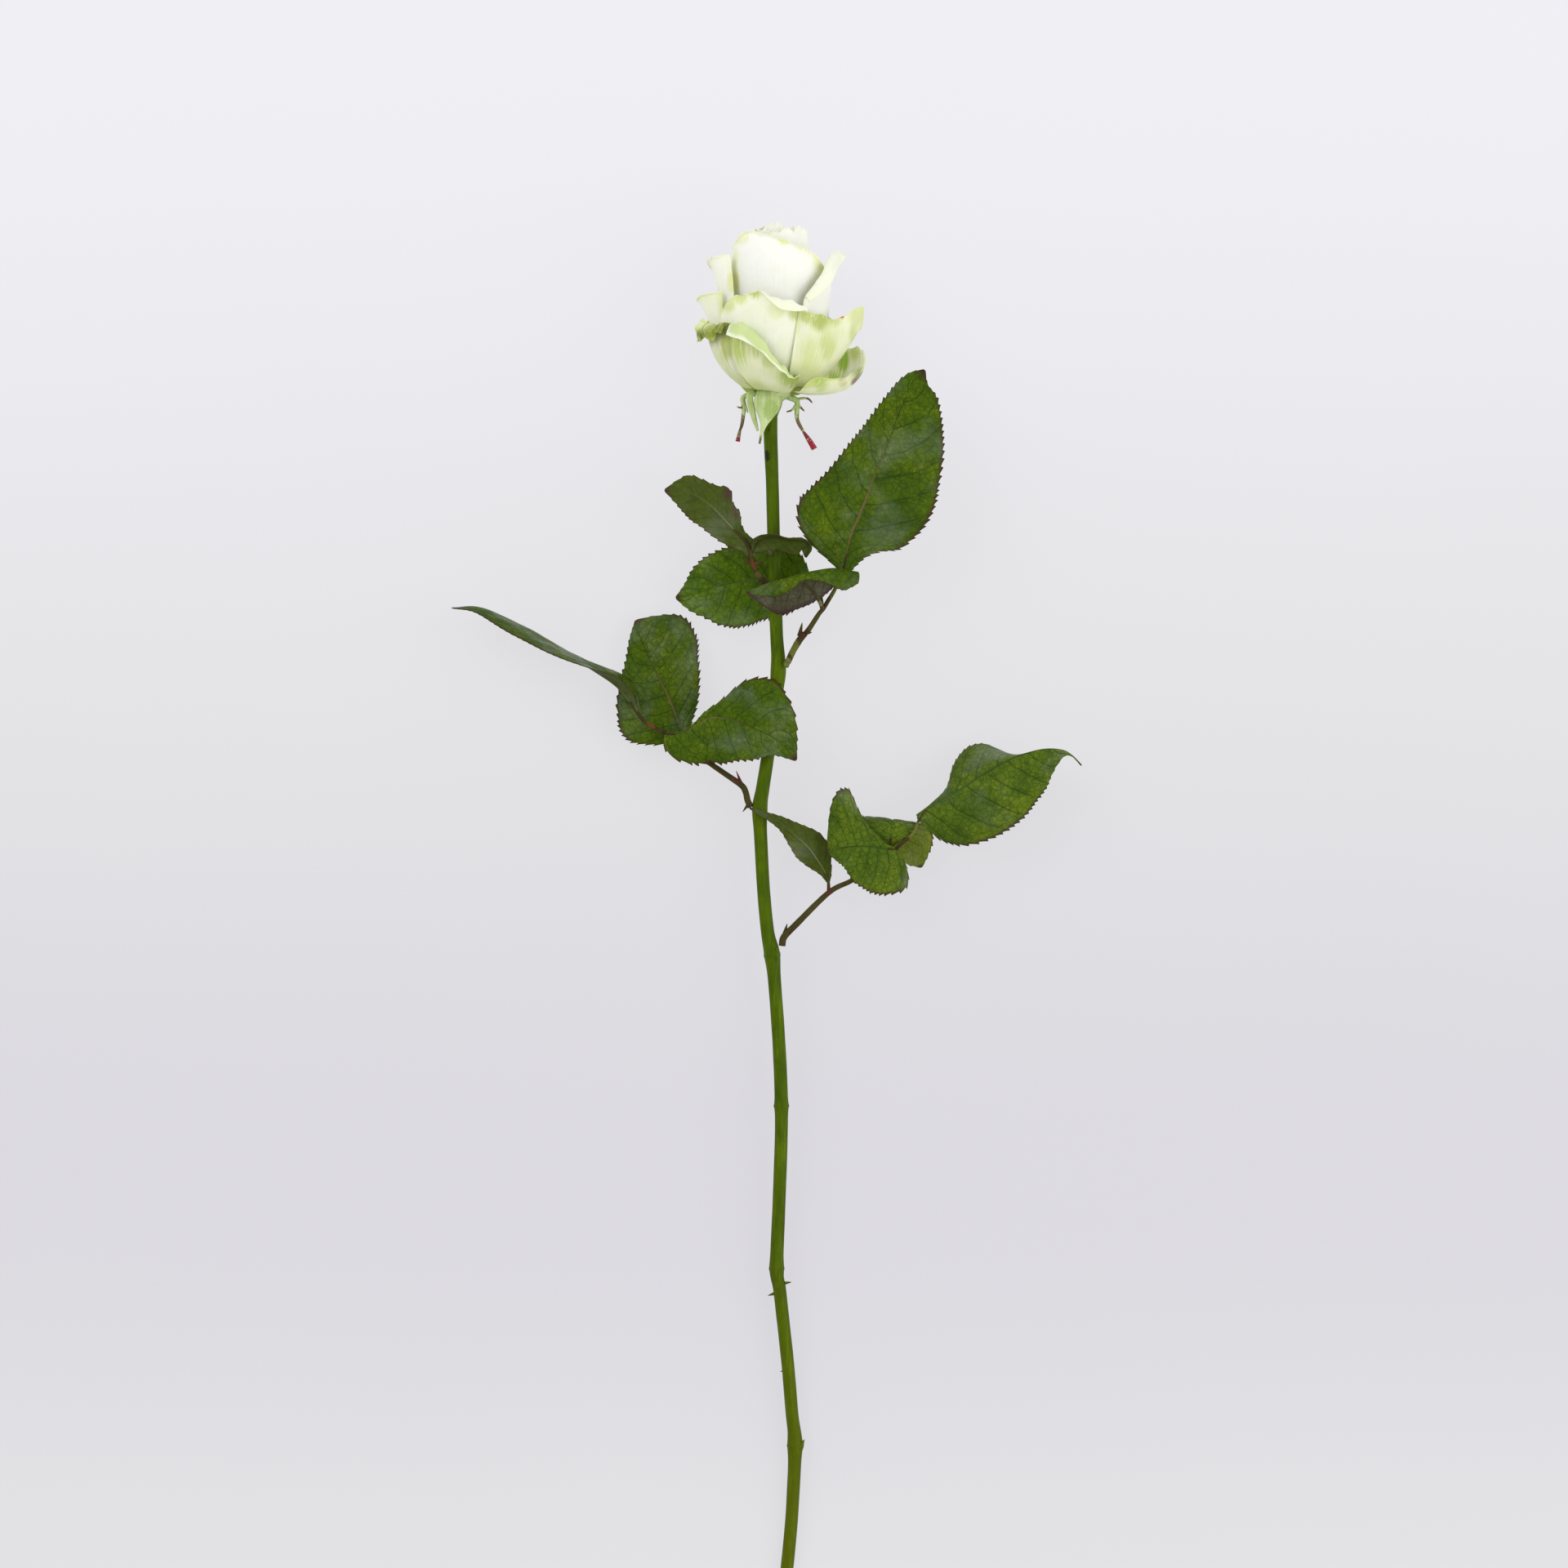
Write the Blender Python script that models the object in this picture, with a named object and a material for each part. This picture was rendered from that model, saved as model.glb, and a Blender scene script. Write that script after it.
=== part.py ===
"""A cut rose that lies on its side, one object for each piece that grew as one.

X runs to the right as seen from above, Y from the cut end of the stem up to the bloom, and Z up from
the surface that the rose lies on. Every size below is in millimetres and is turned to metres when a
mesh is made.
"""

import math
from dataclasses import dataclass

import bpy
from mathutils import Quaternion, Vector

MM = 0.001
LEAF_THICKNESS = 0.65
PETAL_THICKNESS = 0.7
FINE = 12

BLOOM_BASE = Vector((2.1, 190.0, 28.2))
BLOOM_LEAN = math.radians(2.5)
STEM_TOP = 181.5

# The profile of each whorl of petals: (radius, height) from the claw on the receptacle to the rim.
WHORLS = {
    "guard": ((6.6, -0.4), (10.2, -1.0), (15.0, 2.0), (19.2, 6.2), (22.3, 11.4), (24.0, 17.0), (25.6, 27.0)),
    "spread": ((6.6, -0.4), (13.0, -2.0), (20.5, -1.8), (26.8, 0.3), (31.2, 4.5), (33.0, 9.8), (32.6, 16.0)),
    "outer": ((5.4, 1.5), (10.0, 0.6), (15.4, 3.8), (19.6, 9.4), (22.0, 16.0), (23.0, 24.0), (24.2, 37.0)),
    "middle": ((4.1, 2.6), (8.5, 2.2), (13.4, 5.4), (16.8, 11.8), (18.4, 21.0), (18.8, 32.0), (19.6, 50.0)),
    "bud": ((3.1, 3.7), (6.6, 4.2), (10.4, 8.8), (13.0, 17.0), (15.2, 30.0), (17.2, 44.0), (14.8, 60.0)),
    "inner": ((2.3, 4.7), (4.8, 6.2), (7.5, 12.0), (9.5, 21.0), (10.9, 33.0), (11.2, 46.0), (9.0, 60.0)),
    "core": ((1.55, 5.35), (3.4, 8.0), (5.0, 14.0), (6.5, 23.0), (7.6, 35.0), (7.5, 48.0), (5.8, 60.0)),
    "heart": ((0.8, 5.7), (1.9, 9.0), (2.8, 15.0), (3.7, 24.0), (4.3, 36.0), (4.2, 48.0), (3.2, 60.0)),
}


@dataclass
class Petal:
    """One petal: a band of its whorl's surface, with a rim that may roll outwards."""

    name: str
    whorl: str
    turn: float
    half_width: tuple
    rim: tuple
    roll: tuple = (25, 25, 25, 25, 25)
    roll_radius: float = 2.5
    flare: tuple = (0, 0, 0, 0, 0)
    flare_power: float = 2.0
    out: float = 0.0
    lip: tuple = (0, 0, 0, 0, 0)
    ruffle: float = 0.3
    thickness: float = PETAL_THICKNESS
    columns: int = 8
    rows: int = 5
    roll_rows: int = 2
    colour: str = "petal"


# Turn 0 faces up from the surface, and 90 faces right. Half widths are degrees from claw to rim.
PETALS = (
    Petal("petal_guard_front", "guard", -3, (30, 35, 36, 34, 32), (20.2, 19.0, 11.0, 5.2, 3.6),
          roll=(140, 168, 145, 120, 60), roll_radius=1.9, lip=(3.8, 4.2, 1.6, 0.6, 0), out=1.5, columns=10,
          roll_rows=4, colour="guard"),
    Petal("petal_guard_left", "guard", -84, (27, 38, 44, 43, 42), (18.5, 23.0, 19.5, 19.0, 18.0),
          roll=(30, 50, 165, 185, 150), roll_radius=2.0, lip=(0, 0.2, 2.4, 2.6, 2.0), out=-0.2,
          flare=(1.0, 1.7, 0, 0, 0), ruffle=0.25, columns=9, roll_rows=4, colour="guard"),
    Petal("petal_guard_right", "spread", 86, (30, 46, 55, 60, 60), (1.4, 3.2, 8.5, 15.0, 13.5),
          roll=(10, 25, 20, 40, 10), roll_radius=2.0, ruffle=0.2, columns=12, colour="guard"),
    Petal("petal_guard_under", "guard", 180, (27, 36, 40, 42, 40), (17.0, 22.0, 23.5, 21.5, 16.0),
          out=4.4, ruffle=0.0, colour="guard"),
    Petal("petal_outer_front", "outer", -18, (29, 45, 49, 48, 44), (25.0, 29.8, 31.6, 29.2, 27.0),
          roll=(20, 30, 70, 165, 140), roll_radius=2.0, lip=(0, 0, 0, 1.8, 0.6), columns=10, roll_rows=3),
    Petal("petal_outer_right", "outer", 64, (22, 43, 47, 46, 44), (26.6, 24.8, 24.0, 29.6, 22.0),
          roll=(45, 15, 15, 20, 40), roll_radius=2.4, flare=(0, 0, 0.8, 4.8, 7.6), out=1.5, columns=10,
          roll_rows=3),
    Petal("petal_outer_back_right", "outer", 128, (27, 34, 43, 46, 44), (18.0, 22.5, 26.0, 28.0, 26.0),
          roll=(10, 10, 15, 10, 5), out=-0.9),
    Petal("petal_outer_back_left", "outer", -172, (27, 34, 39, 40, 38), (25.0, 28.0, 30.0, 29.0, 25.0),
          roll=(40, 60, 70, 60, 30), out=1.6),
    Petal("petal_outer_left", "outer", -106, (27, 34, 40, 42, 42), (24.0, 27.0, 28.5, 30.6, 32.4),
          roll=(20, 30, 40, 40, 20), flare=(0, 1.2, 6.2, 4.4, 0), flare_power=4.0, out=-1.1),
    Petal("petal_middle_left", "middle", -108, (34, 42, 52, 53, 48), (36.0, 39.0, 41.6, 44.4, 46.0),
          roll=(35, 50, 60, 40, 10), roll_radius=3.0, flare=(4.0, 6.0, 6.0, 4.4, 1.6), flare_power=3.0,
          columns=9),
    Petal("petal_middle_right", "middle", 74, (34, 43, 46, 45, 43), (31.0, 41.5, 48.9, 49.0, 42.0),
          roll=(140, 158, 150, 90, 60), roll_radius=1.4, lip=(1.6, 4.0, 3.8, 1.8, 0), out=0.6,
          flare=(0, 0.3, -0.2, -0.8, -0.8), columns=10, roll_rows=4),
    Petal("petal_middle_front", "middle", -14, (34, 40, 46, 48, 44), (22.0, 26.5, 28.0, 26.5, 21.0),
          roll=(15, 15, 15, 15, 15), out=-1.2, columns=7),
    Petal("petal_middle_back", "middle", 172, (34, 38, 44, 47, 44), (34.0, 39.0, 41.0, 39.0, 34.0),
          roll=(20, 40, 50, 20, 5), out=-1.3, ruffle=0.15),
    Petal("petal_bud_front", "bud", -5, (26, 57, 77, 82, 80), (48.6, 54.4, 52.2, 48.4, 42.5),
          roll=(50, 80, 70, 80, 60), roll_radius=1.5, ruffle=0.1, columns=11, rows=6),
    Petal("petal_bud_right", "bud", 118, (26, 32, 50, 57, 52), (38.0, 41.0, 44.0, 46.0, 45.0), out=-2.1,
          roll=(5, 5, 5, 5, 5), ruffle=0.1, columns=7),
    Petal("petal_bud_back", "bud", 180, (26, 30, 44, 50, 46), (44.0, 51.0, 53.0, 51.0, 45.0), out=-0.3,
          ruffle=0.1, columns=7),
    Petal("petal_bud_left", "bud", -122, (26, 32, 50, 56, 52), (46.0, 51.0, 53.0, 52.0, 47.0), out=-2.05,
          roll=(5, 5, 5, 5, 5), ruffle=0.1, columns=7),
    Petal("petal_inner_1", "inner", 30, (36, 44, 56, 56, 52), (53.0, 56.5, 57.0, 57.5, 55.0), columns=7,
          roll_rows=1, ruffle=0.1, thickness=0.62),
    Petal("petal_inner_2", "inner", 122, (36, 44, 56, 56, 52), (52.0, 55.0, 56.0, 55.0, 53.0), columns=7,
          roll_rows=1, roll=(5, 5, 5, 5, 5), out=-1.4, ruffle=0.1, thickness=0.62),
    Petal("petal_inner_3", "inner", -145, (36, 44, 56, 56, 52), (53.0, 56.5, 57.0, 56.5, 54.0), columns=7,
          roll_rows=1, ruffle=0.1, thickness=0.62),
    Petal("petal_inner_4", "inner", -58, (36, 44, 56, 56, 52), (52.0, 55.0, 56.0, 56.0, 54.0), columns=7,
          roll_rows=1, roll=(5, 5, 5, 5, 5), out=-1.4, ruffle=0.1, thickness=0.62),
    Petal("petal_core_1", "core", -20, (48, 58, 69, 69, 64), (54.0, 57.5, 58.5, 57.0, 55.0), columns=8,
          roll_rows=1, roll=(5, 5, 5, 5, 5), ruffle=0.05, thickness=0.62),
    Petal("petal_core_2", "core", 102, (48, 56, 65, 66, 60), (54.0, 57.0, 58.0, 57.0, 54.0), columns=8,
          roll_rows=1, roll=(5, 5, 5, 5, 5), out=-1.05, ruffle=0.05, thickness=0.62),
    Petal("petal_core_3", "core", -140, (48, 58, 67, 66, 60), (54.0, 57.0, 57.5, 57.0, 54.0), columns=8,
          roll_rows=1, roll=(0, 0, 0, 0, 0), out=-1.95, ruffle=0.05, thickness=0.62),
)

HEART_TURNS = 1.5
HEART_TOP = (56.0, 59.8, 57.0, 58.8, 56.0)

# The stem: (x, y, z, radius) from the bloom down to the cut end.
STEM_ROUTE = (
    (1.1, STEM_TOP, 28.1, 2.6), (1.1, 171.0, 27.4, 2.55), (1.7, 154.8, 26.2, 2.35), (2.2, 134.1, 24.6, 2.35),
    (2.7, 114.6, 23.0, 2.4), (3.3, 98.7, 21.6, 2.4), (3.9, 85.5, 20.5, 2.5), (2.1, 69.6, 19.1, 2.4),
    (-0.2, 52.8, 17.5, 2.4), (-1.8, 42.6, 16.5, 2.45), (-2.9, 34.8, 15.9, 2.5), (-2.4, 21.0, 15.1, 2.4),
    (-1.4, 3.6, 14.1, 2.4), (0.0, -10.5, 13.3, 2.45), (1.6, -18.6, 12.9, 2.5), (2.7, -30.9, 12.4, 2.4),
    (4.05, -49.8, 11.6, 2.4), (4.9, -68.4, 10.5, 2.45), (5.0, -84.9, 9.6, 2.4), (4.1, -111.9, 8.3, 2.4),
    (3.3, -134.1, 7.0, 2.5), (4.35, -141.9, 6.6, 2.4), (5.7, -153.9, 6.1, 2.36), (7.5, -170.7, 5.5, 2.36),
    (8.9, -187.5, 5.0, 2.36), (10.05, -199.5, 4.6, 2.45), (9.15, -221.4, 3.5, 2.36), (8.2, -234.0, 2.9, 2.36),
    (6.6, -250.0, 2.5, 2.36),
)
# Where a leaf, a bud or a scar sits: (y, how far the stem swells, over what length).
STEM_NODES = (
    (85.5, 0.35, 5.0), (34.8, 0.4, 5.0), (-18.6, 0.45, 5.0), (-74.4, 0.25, 2.2), (-134.1, 0.25, 3.0),
    (-199.5, 0.4, 4.0), (117.0, 0.15, 4.0),
)
# Buds and scars: (x, y, z above the stem's centre line, radius).
STEM_BUDS = (
    (2.9, -18.3, 2.3, 1.6), (3.2, -134.2, 2.2, 1.3), (12.4, -199.4, 0.9, 1.6), (3.9, -74.4, 2.0, 0.9),
)
# Tiny prickles: (root x, y, height over the centre line), (tip offset).
STEM_PRICKLES = (
    ((3.0, -143.6, 0.6), (-3.0, -0.6, 0.6)),
    ((5.9, -139.8, 0.6), (2.8, 0.4, 0.8)),
    ((4.6, -60.0, -1.6), (0.6, -0.4, -2.2)),
    ((7.0, -172.0, -1.2), (-2.2, -0.6, -1.4)),
)
CUT_SLANT = 0.45

# The receptacle: (radius, height) from the stem up to its tip under the petals.
RECEPTACLE = ((2.7, -8.0), (2.9, -7.0), (3.5, -5.6), (4.8, -4.2), (6.2, -2.9), (6.5, -2.0), (6.3, -1.3),
              (5.2, 0.2), (4.1, 1.6), (3.1, 2.7), (2.2, 3.7), (1.4, 4.5), (0.4, 5.0))
RECEPTACLE_FOOT_SHIFT = -0.65


@dataclass
class Leaflet:
    """One leaflet: a midrib and, across it, two halves that fold and bend."""

    name: str
    midrib: tuple
    left: tuple
    right: tuple
    facing: tuple = (0.0, 0.0, 1.0)
    roll: tuple = (0, 0)
    fold_left: tuple = (0, 0)
    fold_right: tuple = (0, 0)
    bend_left: tuple = (-10, -10)
    bend_right: tuple = (-10, -10)
    sweep_left: tuple = (-25, 0, 15)
    sweep_right: tuple = (-25, 0, 15)
    wave: float = 0.5
    teeth: int = 9
    tooth: float = 0.9
    columns: int = 2
    colour: str = "leaf"


# Left and right are seen from the leaflet's upper side with its tip up. A sweep is how far, in degrees, the
# rows across lean towards the tip.
LEAFLETS = (
    Leaflet("leaflet_upper_1",
            ((-7.2, 132.3, 28.3), (-13.2, 138.3, 29.4), (-19.8, 145.2, 30.2), (-25.4, 149.4, 30.2),
             (-31.2, 151.6, 29.2), (-37.8, 151.9, 27.8)),
            left=(2.0, 4.4, 6.0, 8.4, 7.0, 4.0, 0.4), right=(2.0, 5.6, 7.6, 8.6, 8.2, 5.8, 0.4),
            facing=(0, 0, -1), fold_left=(25, 15), fold_right=(10, 5), sweep_left=(-10, 0, 5),
            sweep_right=(-10, 0, 5), teeth=8, colour="leaf_under"),
    Leaflet("leaflet_upper_2",
            ((-5.5, 131.0, 28.8), (-3.0, 133.4, 30.0), (3.0, 134.4, 31.0), (9.0, 133.6, 31.2),
             (14.6, 133.0, 30.8), (17.0, 130.4, 30.2), (15.6, 126.4, 29.2)),
            left=(0.8, 4.4, 5.4, 4.6, 3.6, 2.4, 0.4), right=(0.8, 6.6, 6.8, 5.0, 5.2, 5.0, 0.4),
            facing=(0, -0.8, 0.6), fold_left=(50, 40), fold_right=(30, 20), sweep_left=(0, 0),
            sweep_right=(0, 0), teeth=6, tooth=0.6, colour="leaf_under"),
    Leaflet("leaflet_a_1",
            ((28.2, 124.6, 29.2), (30.6, 135.0, 31.6), (33.6, 142.4, 32.6), (36.4, 149.7, 33.0),
             (39.9, 159.3, 33.0), (43.8, 168.3, 32.4), (47.4, 178.2, 31.2), (50.7, 186.3, 29.8),
             (53.7, 192.3, 28.6), (57.6, 196.0, 27.4)),
            left=(1.0, 17.0, 22.6, 20.6, 17.0, 14.0, 11.8, 9.4, 7.0, 4.6, 0.4),
            right=(1.0, 8.4, 17.0, 22.8, 24.9, 24.1, 21.8, 18.9, 15.2, 9.8, 0.4),
            fold_left=(20, 12, 5), fold_right=(22, 12, 5), bend_left=(-28, -22, -10),
            bend_right=(-35, -25, -10), sweep_left=(2, 0, 5), sweep_right=(-12, 0, 10), wave=0.6, teeth=13,
            columns=3),
    Leaflet("leaflet_a_2",
            ((32.6, 120.6, 35.3), (24.0, 122.9, 36.1), (16.5, 122.2, 36.5), (9.0, 120.2, 36.3),
             (0.3, 117.8, 35.3), (-7.8, 114.3, 34.1)),
            left=(3.6, 7.4, 7.0, 5.0, 3.0, 5.6, 6.6, 4.6, 0.4),
            right=(2.0, 7.0, 9.6, 13.0, 15.6, 17.0, 17.6, 13.0, 0.4),
            facing=(0, 1, 0), fold_left=(-35, -30), fold_right=(-30, -25), bend_left=(-70, -60),
            bend_right=(-55, -45), sweep_left=(0, 0), sweep_right=(0, 0), wave=0.4, teeth=10, tooth=0.7),
    Leaflet("leaflet_a_3",
            ((16.3, 117.9, 17.4), (6.0, 118.8, 15.6), (-4.8, 119.2, 14.4), (-15.0, 117.6, 13.6),
             (-22.0, 115.6, 12.8), (-28.0, 113.6, 12.2), (-33.8, 112.6, 11.4)),
            left=(1.0, 10.0, 13.6, 14.4, 15.8, 14.8, 11.8, 6.0, 0.4),
            right=(1.0, 10.4, 12.6, 12.2, 10.8, 9.4, 7.0, 3.0, 0.4),
            fold_left=(10, 8), fold_right=(12, 8), bend_left=(-26, -20), bend_right=(-26, -20),
            sweep_left=(-10, 0, 5), sweep_right=(-10, 0, 5)),
    Leaflet("leaflet_b_1",
            ((-47.9, 70.6, 17.6), (-54.6, 79.4, 17.8), (-64.2, 86.2, 17.4), (-78.0, 94.6, 17.0),
             (-89.4, 101.2, 16.6), (-105.2, 108.6, 16.2), (-116.2, 108.9, 15.6)),
            left=(1.0, 8.0, 12.0, 14.0, 14.6, 13.6, 11.4, 7.0, 0.4),
            right=(1.0, 8.0, 12.0, 14.6, 15.6, 15.0, 12.6, 8.0, 0.4),
            facing=(0.5, 0.85, 0.16), fold_left=(54, 10, -2, -4), fold_right=(50, 4, -4, -6),
            bend_left=(-10, -12, -8), bend_right=(-10, -10, -8), sweep_left=(-10, 0, 10),
            sweep_right=(-10, 0, 10), wave=0.3, teeth=12, tooth=0.8),
    Leaflet("leaflet_b_2",
            ((-30.7, 60.4, 12.0), (-34.2, 70.6, 9.6), (-37.5, 78.3, 8.8), (-40.8, 84.3, 8.4),
             (-43.5, 89.8, 7.8), (-46.6, 97.2, 6.8), (-48.6, 104.4, 5.4)),
            left=(1.0, 12.0, 20.0, 22.0, 20.0, 14.4, 8.4, 4.2, 0.4),
            right=(1.0, 5.0, 9.6, 13.4, 17.0, 19.4, 19.6, 14.4, 0.4),
            fold_left=(12, 8), fold_right=(14, 10), bend_left=(-24, -20), bend_right=(-30, -24),
            sweep_left=(-25, -8, 0), sweep_right=(-10, 2, 6, 26)),
    Leaflet("leaflet_b_3",
            ((-37.2, 62.6, 18.5), (-31.5, 62.6, 19.8), (-26.4, 65.6, 21.4), (-20.4, 68.6, 22.8),
             (-12.3, 67.4, 23.6), (-3.6, 63.9, 24.2), (3.9, 59.8, 24.0), (10.5, 52.8, 23.0)),
            left=(1.0, 1.0, 1.6, 5.2, 15.8, 19.4, 15.6, 6.8, 0.4),
            right=(1.0, 10.4, 15.2, 17.0, 16.6, 13.4, 10.0, 4.8, 0.4),
            fold_left=(16, 14), fold_right=(6, 6), bend_left=(-34, -26), bend_right=(-16, -14),
            sweep_left=(0, 0), sweep_right=(-55, -25, 0, 0, 0)),
    Leaflet("leaflet_c_1",
            ((54.8, 32.2, 22.9), (63.0, 37.8, 24.6), (69.9, 41.7, 25.4), (81.3, 48.9, 26.0),
             (91.2, 54.0, 25.6), (100.8, 56.8, 24.2), (108.0, 56.6, 22.6), (111.8, 54.6, 21.4),
             (115.4, 51.0, 20.2)),
            left=(1.0, 1.6, 5.0, 15.5, 21.0, 21.5, 17.5, 13.0, 6.6, 1.4, 0.4),
            right=(1.0, 14.0, 20.0, 22.8, 23.4, 22.2, 19.4, 16.0, 10.6, 1.6, 0.4),
            fold_left=(-50, -50, -50, -57, -84, -86, -84), fold_right=(-6, -6), bend_left=(-14, -12),
            bend_right=(-24, -18), sweep_left=(0, 0), sweep_right=(-30, 0, 5), teeth=12, tooth=0.7),
    Leaflet("leaflet_c_2",
            ((46.6, 20.3, 23.8), (42.0, 20.6, 24.8), (37.5, 21.2, 25.4), (33.6, 21.3, 25.6),
             (27.6, 20.6, 25.4), (21.6, 19.2, 24.8)),
            left=(5.0, 16.6, 18.2, 17.8, 16.0, 12.8, 7.6, 4.4, 0.4),
            right=(0.8, 1.6, 4.0, 7.4, 15.0, 21.4, 20.4, 13.0, 0.4),
            fold_left=(-4, 4), fold_right=(20, 12), bend_left=(-16, -10), bend_right=(-20, -24),
            sweep_left=(-50, -16, 5, 0), sweep_right=(0, -4, -9, -6)),
    Leaflet("leaflet_c_3",
            ((45.2, 21.3, 18.9), (45.2, 26.0, 20.8), (45.4, 29.6, 19.4), (46.0, 31.0, 14.6),
             (48.6, 27.2, 10.2), (52.6, 20.2, 7.8), (56.6, 13.4, 7.0)),
            left=(1.0, 6.4, 9.4, 10.6, 11.0, 10.4, 8.8, 5.6, 0.4),
            right=(1.0, 5.4, 8.4, 11.0, 13.2, 14.0, 11.6, 7.0, 0.4),
            bend_left=(-6, -6), bend_right=(-6, -6), wave=0.3),
    Leaflet("leaflet_c_4",
            ((22.3, 8.2, 18.6), (21.0, 11.9, 19.4), (18.3, 16.2, 20.2), (15.0, 20.7, 21.0),
             (10.5, 24.9, 21.4), (5.4, 29.1, 21.6), (0.0, 32.1, 21.4), (-6.6, 35.3, 20.8)),
            left=(0.7, 3.4, 6.2, 6.8, 5.2, 3.4, 2.2, 1.2, 0.4),
            right=(0.7, 2.6, 4.8, 5.8, 4.4, 2.6, 1.6, 0.9, 0.4),
            facing=(0, 0, -1), fold_left=(18, 10), fold_right=(12, 10), sweep_left=(-10, 0, 5),
            sweep_right=(-10, 0, 5), teeth=8, tooth=0.5, colour="leaf_under"),
)


@dataclass
class Stalk:
    """A leaf stalk: tubes of (route, first radius, last radius) and spikes of (root, tip, radius)."""

    name: str
    tubes: tuple
    spikes: tuple = ()


STALKS = (
    Stalk("stalk_upper",
          ((((0.1, 116.6, 25.6), (-2.4, 119.4, 26.4), (-4.4, 122.4, 27.2), (-5.9, 126.0, 27.8),
             (-6.5, 129.4, 28.1), (-6.8, 131.2, 28.2)), 1.3, 0.7),
           (((-6.2, 128.0, 28.1), (-5.8, 130.2, 28.6)), 0.7, 0.6)),
          (((-5.6, 125.2, 27.8), (-8.2, 124.6, 29.0), 0.6), ((-5.4, 125.6, 27.9), (-2.2, 125.4, 29.2), 0.6))),
    Stalk("stalk_a",
          ((((6.5, 87.2, 24.3), (8.0, 91.0, 24.7), (10.6, 97.2, 25.3), (13.5, 101.9, 26.0),
             (18.0, 106.8, 26.9), (19.6, 108.6, 27.2), (24.6, 116.1, 27.6), (27.0, 121.0, 28.2),
             (28.0, 123.9, 28.9)), 1.3, 0.75),
           (((19.4, 108.4, 27.2), (18.8, 110.6, 31.2), (17.0, 113.8, 35.2), (15.2, 116.0, 37.2),
             (13.4, 117.4, 38.2)), 0.7, 0.6),
           (((19.2, 108.4, 27.2), (19.4, 112.0, 24.0), (18.6, 115.6, 20.4), (17.2, 117.5, 18.0)), 0.8, 0.7)),
          (((10.4, 96.6, 25.3), (12.3, 103.6, 27.2), 0.8), ((8.4, 92.4, 24.9), (6.4, 97.4, 26.4), 0.7),
           ((13.6, 101.6, 26.0), (15.4, 100.6, 27.2), 0.5))),
    Stalk("stalk_b",
          ((((-6.3, 35.7, 16.6), (-7.4, 38.1, 17.0), (-8.1, 41.1, 17.2), (-9.6, 43.6, 17.2),
             (-15.0, 47.4, 16.6), (-19.8, 50.7, 16.0), (-28.5, 56.6, 15.4), (-37.0, 62.3, 15.8),
             (-44.4, 66.4, 16.4), (-47.5, 69.7, 17.1)), 1.2, 0.8),
           (((-28.8, 56.8, 15.3), (-30.2, 58.4, 13.8), (-30.7, 59.6, 12.8)), 0.8, 0.7),
           (((-37.0, 62.3, 15.9), (-37.3, 62.4, 17.6)), 0.8, 0.7)),
          (((-9.2, 43.0, 17.4), (-11.6, 49.0, 18.4), 0.7), ((-7.2, 36.6, 17.0), (-9.2, 33.8, 17.8), 0.6))),
    Stalk("stalk_c",
          ((((5.3, -15.4, 14.4), (6.0, -12.2, 14.8), (10.2, -7.8, 15.6), (22.5, 4.2, 17.2), (30.9, 8.6, 18.2),
             (38.5, 13.6, 19.0), (45.6, 19.0, 20.4), (49.6, 22.2, 21.1), (53.5, 26.2, 21.7),
             (54.3, 30.4, 22.5)), 1.3, 0.8),
           (((22.4, 4.1, 17.2), (22.4, 7.5, 18.4)), 0.7, 0.6),
           (((45.4, 18.8, 20.4), (46.2, 19.5, 22.0), (46.4, 19.8, 22.6)), 0.7, 0.7),
           (((44.6, 18.2, 20.2), (45.0, 20.3, 19.1)), 0.7, 0.7)),
          (((6.0, -11.6, 14.8), (7.2, -7.2, 16.6), 0.8), ((9.0, -8.8, 15.6), (12.0, -5.0, 17.4), 0.6))),
)

# The free parts of the sepals: (route, first radius, last radius), fused to the receptacle.
SEPAL_TAILS = (
    (((-2.6, 187.9, 27.4), (-6.6, 187.0, 27.0), (-9.1, 185.7, 26.7), (-8.7, 182.6, 26.6), (-9.3, 176.7, 26.8),
      (-10.2, 173.7, 27.0)), 1.2, 0.5),
    (((-10.1, 174.2, 27.0), (-10.6, 171.8, 27.1), (-11.0, 169.8, 27.2)), 0.5, 0.85),
    (((-8.7, 184.0, 26.6), (-9.7, 182.2, 27.2), (-11.4, 182.6, 27.6)), 0.5, 0.35),
    (((-8.7, 184.0, 26.6), (-7.8, 182.0, 27.0), (-7.2, 180.2, 27.4)), 0.6, 0.35),
    (((4.8, 187.2, 27.2), (8.0, 186.0, 26.9), (10.7, 184.6, 26.7), (10.7, 181.0, 26.8), (11.0, 177.4, 27.0),
      (13.4, 172.9, 27.0)), 1.3, 0.5),
    (((13.3, 173.1, 27.0), (15.4, 170.0, 27.2), (17.2, 167.0, 27.2)), 0.6, 1.15),
    (((10.7, 183.6, 26.8), (9.0, 181.4, 27.4), (6.8, 180.6, 27.8)), 0.6, 0.35),
    (((10.8, 183.8, 26.8), (12.2, 182.2, 27.2), (13.6, 180.8, 27.4)), 0.6, 0.35),
    (((9.8, 185.0, 26.8), (12.4, 185.6, 27.0), (14.8, 185.5, 27.2), (16.4, 183.9, 27.4)), 0.6, 0.4),
)
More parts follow.
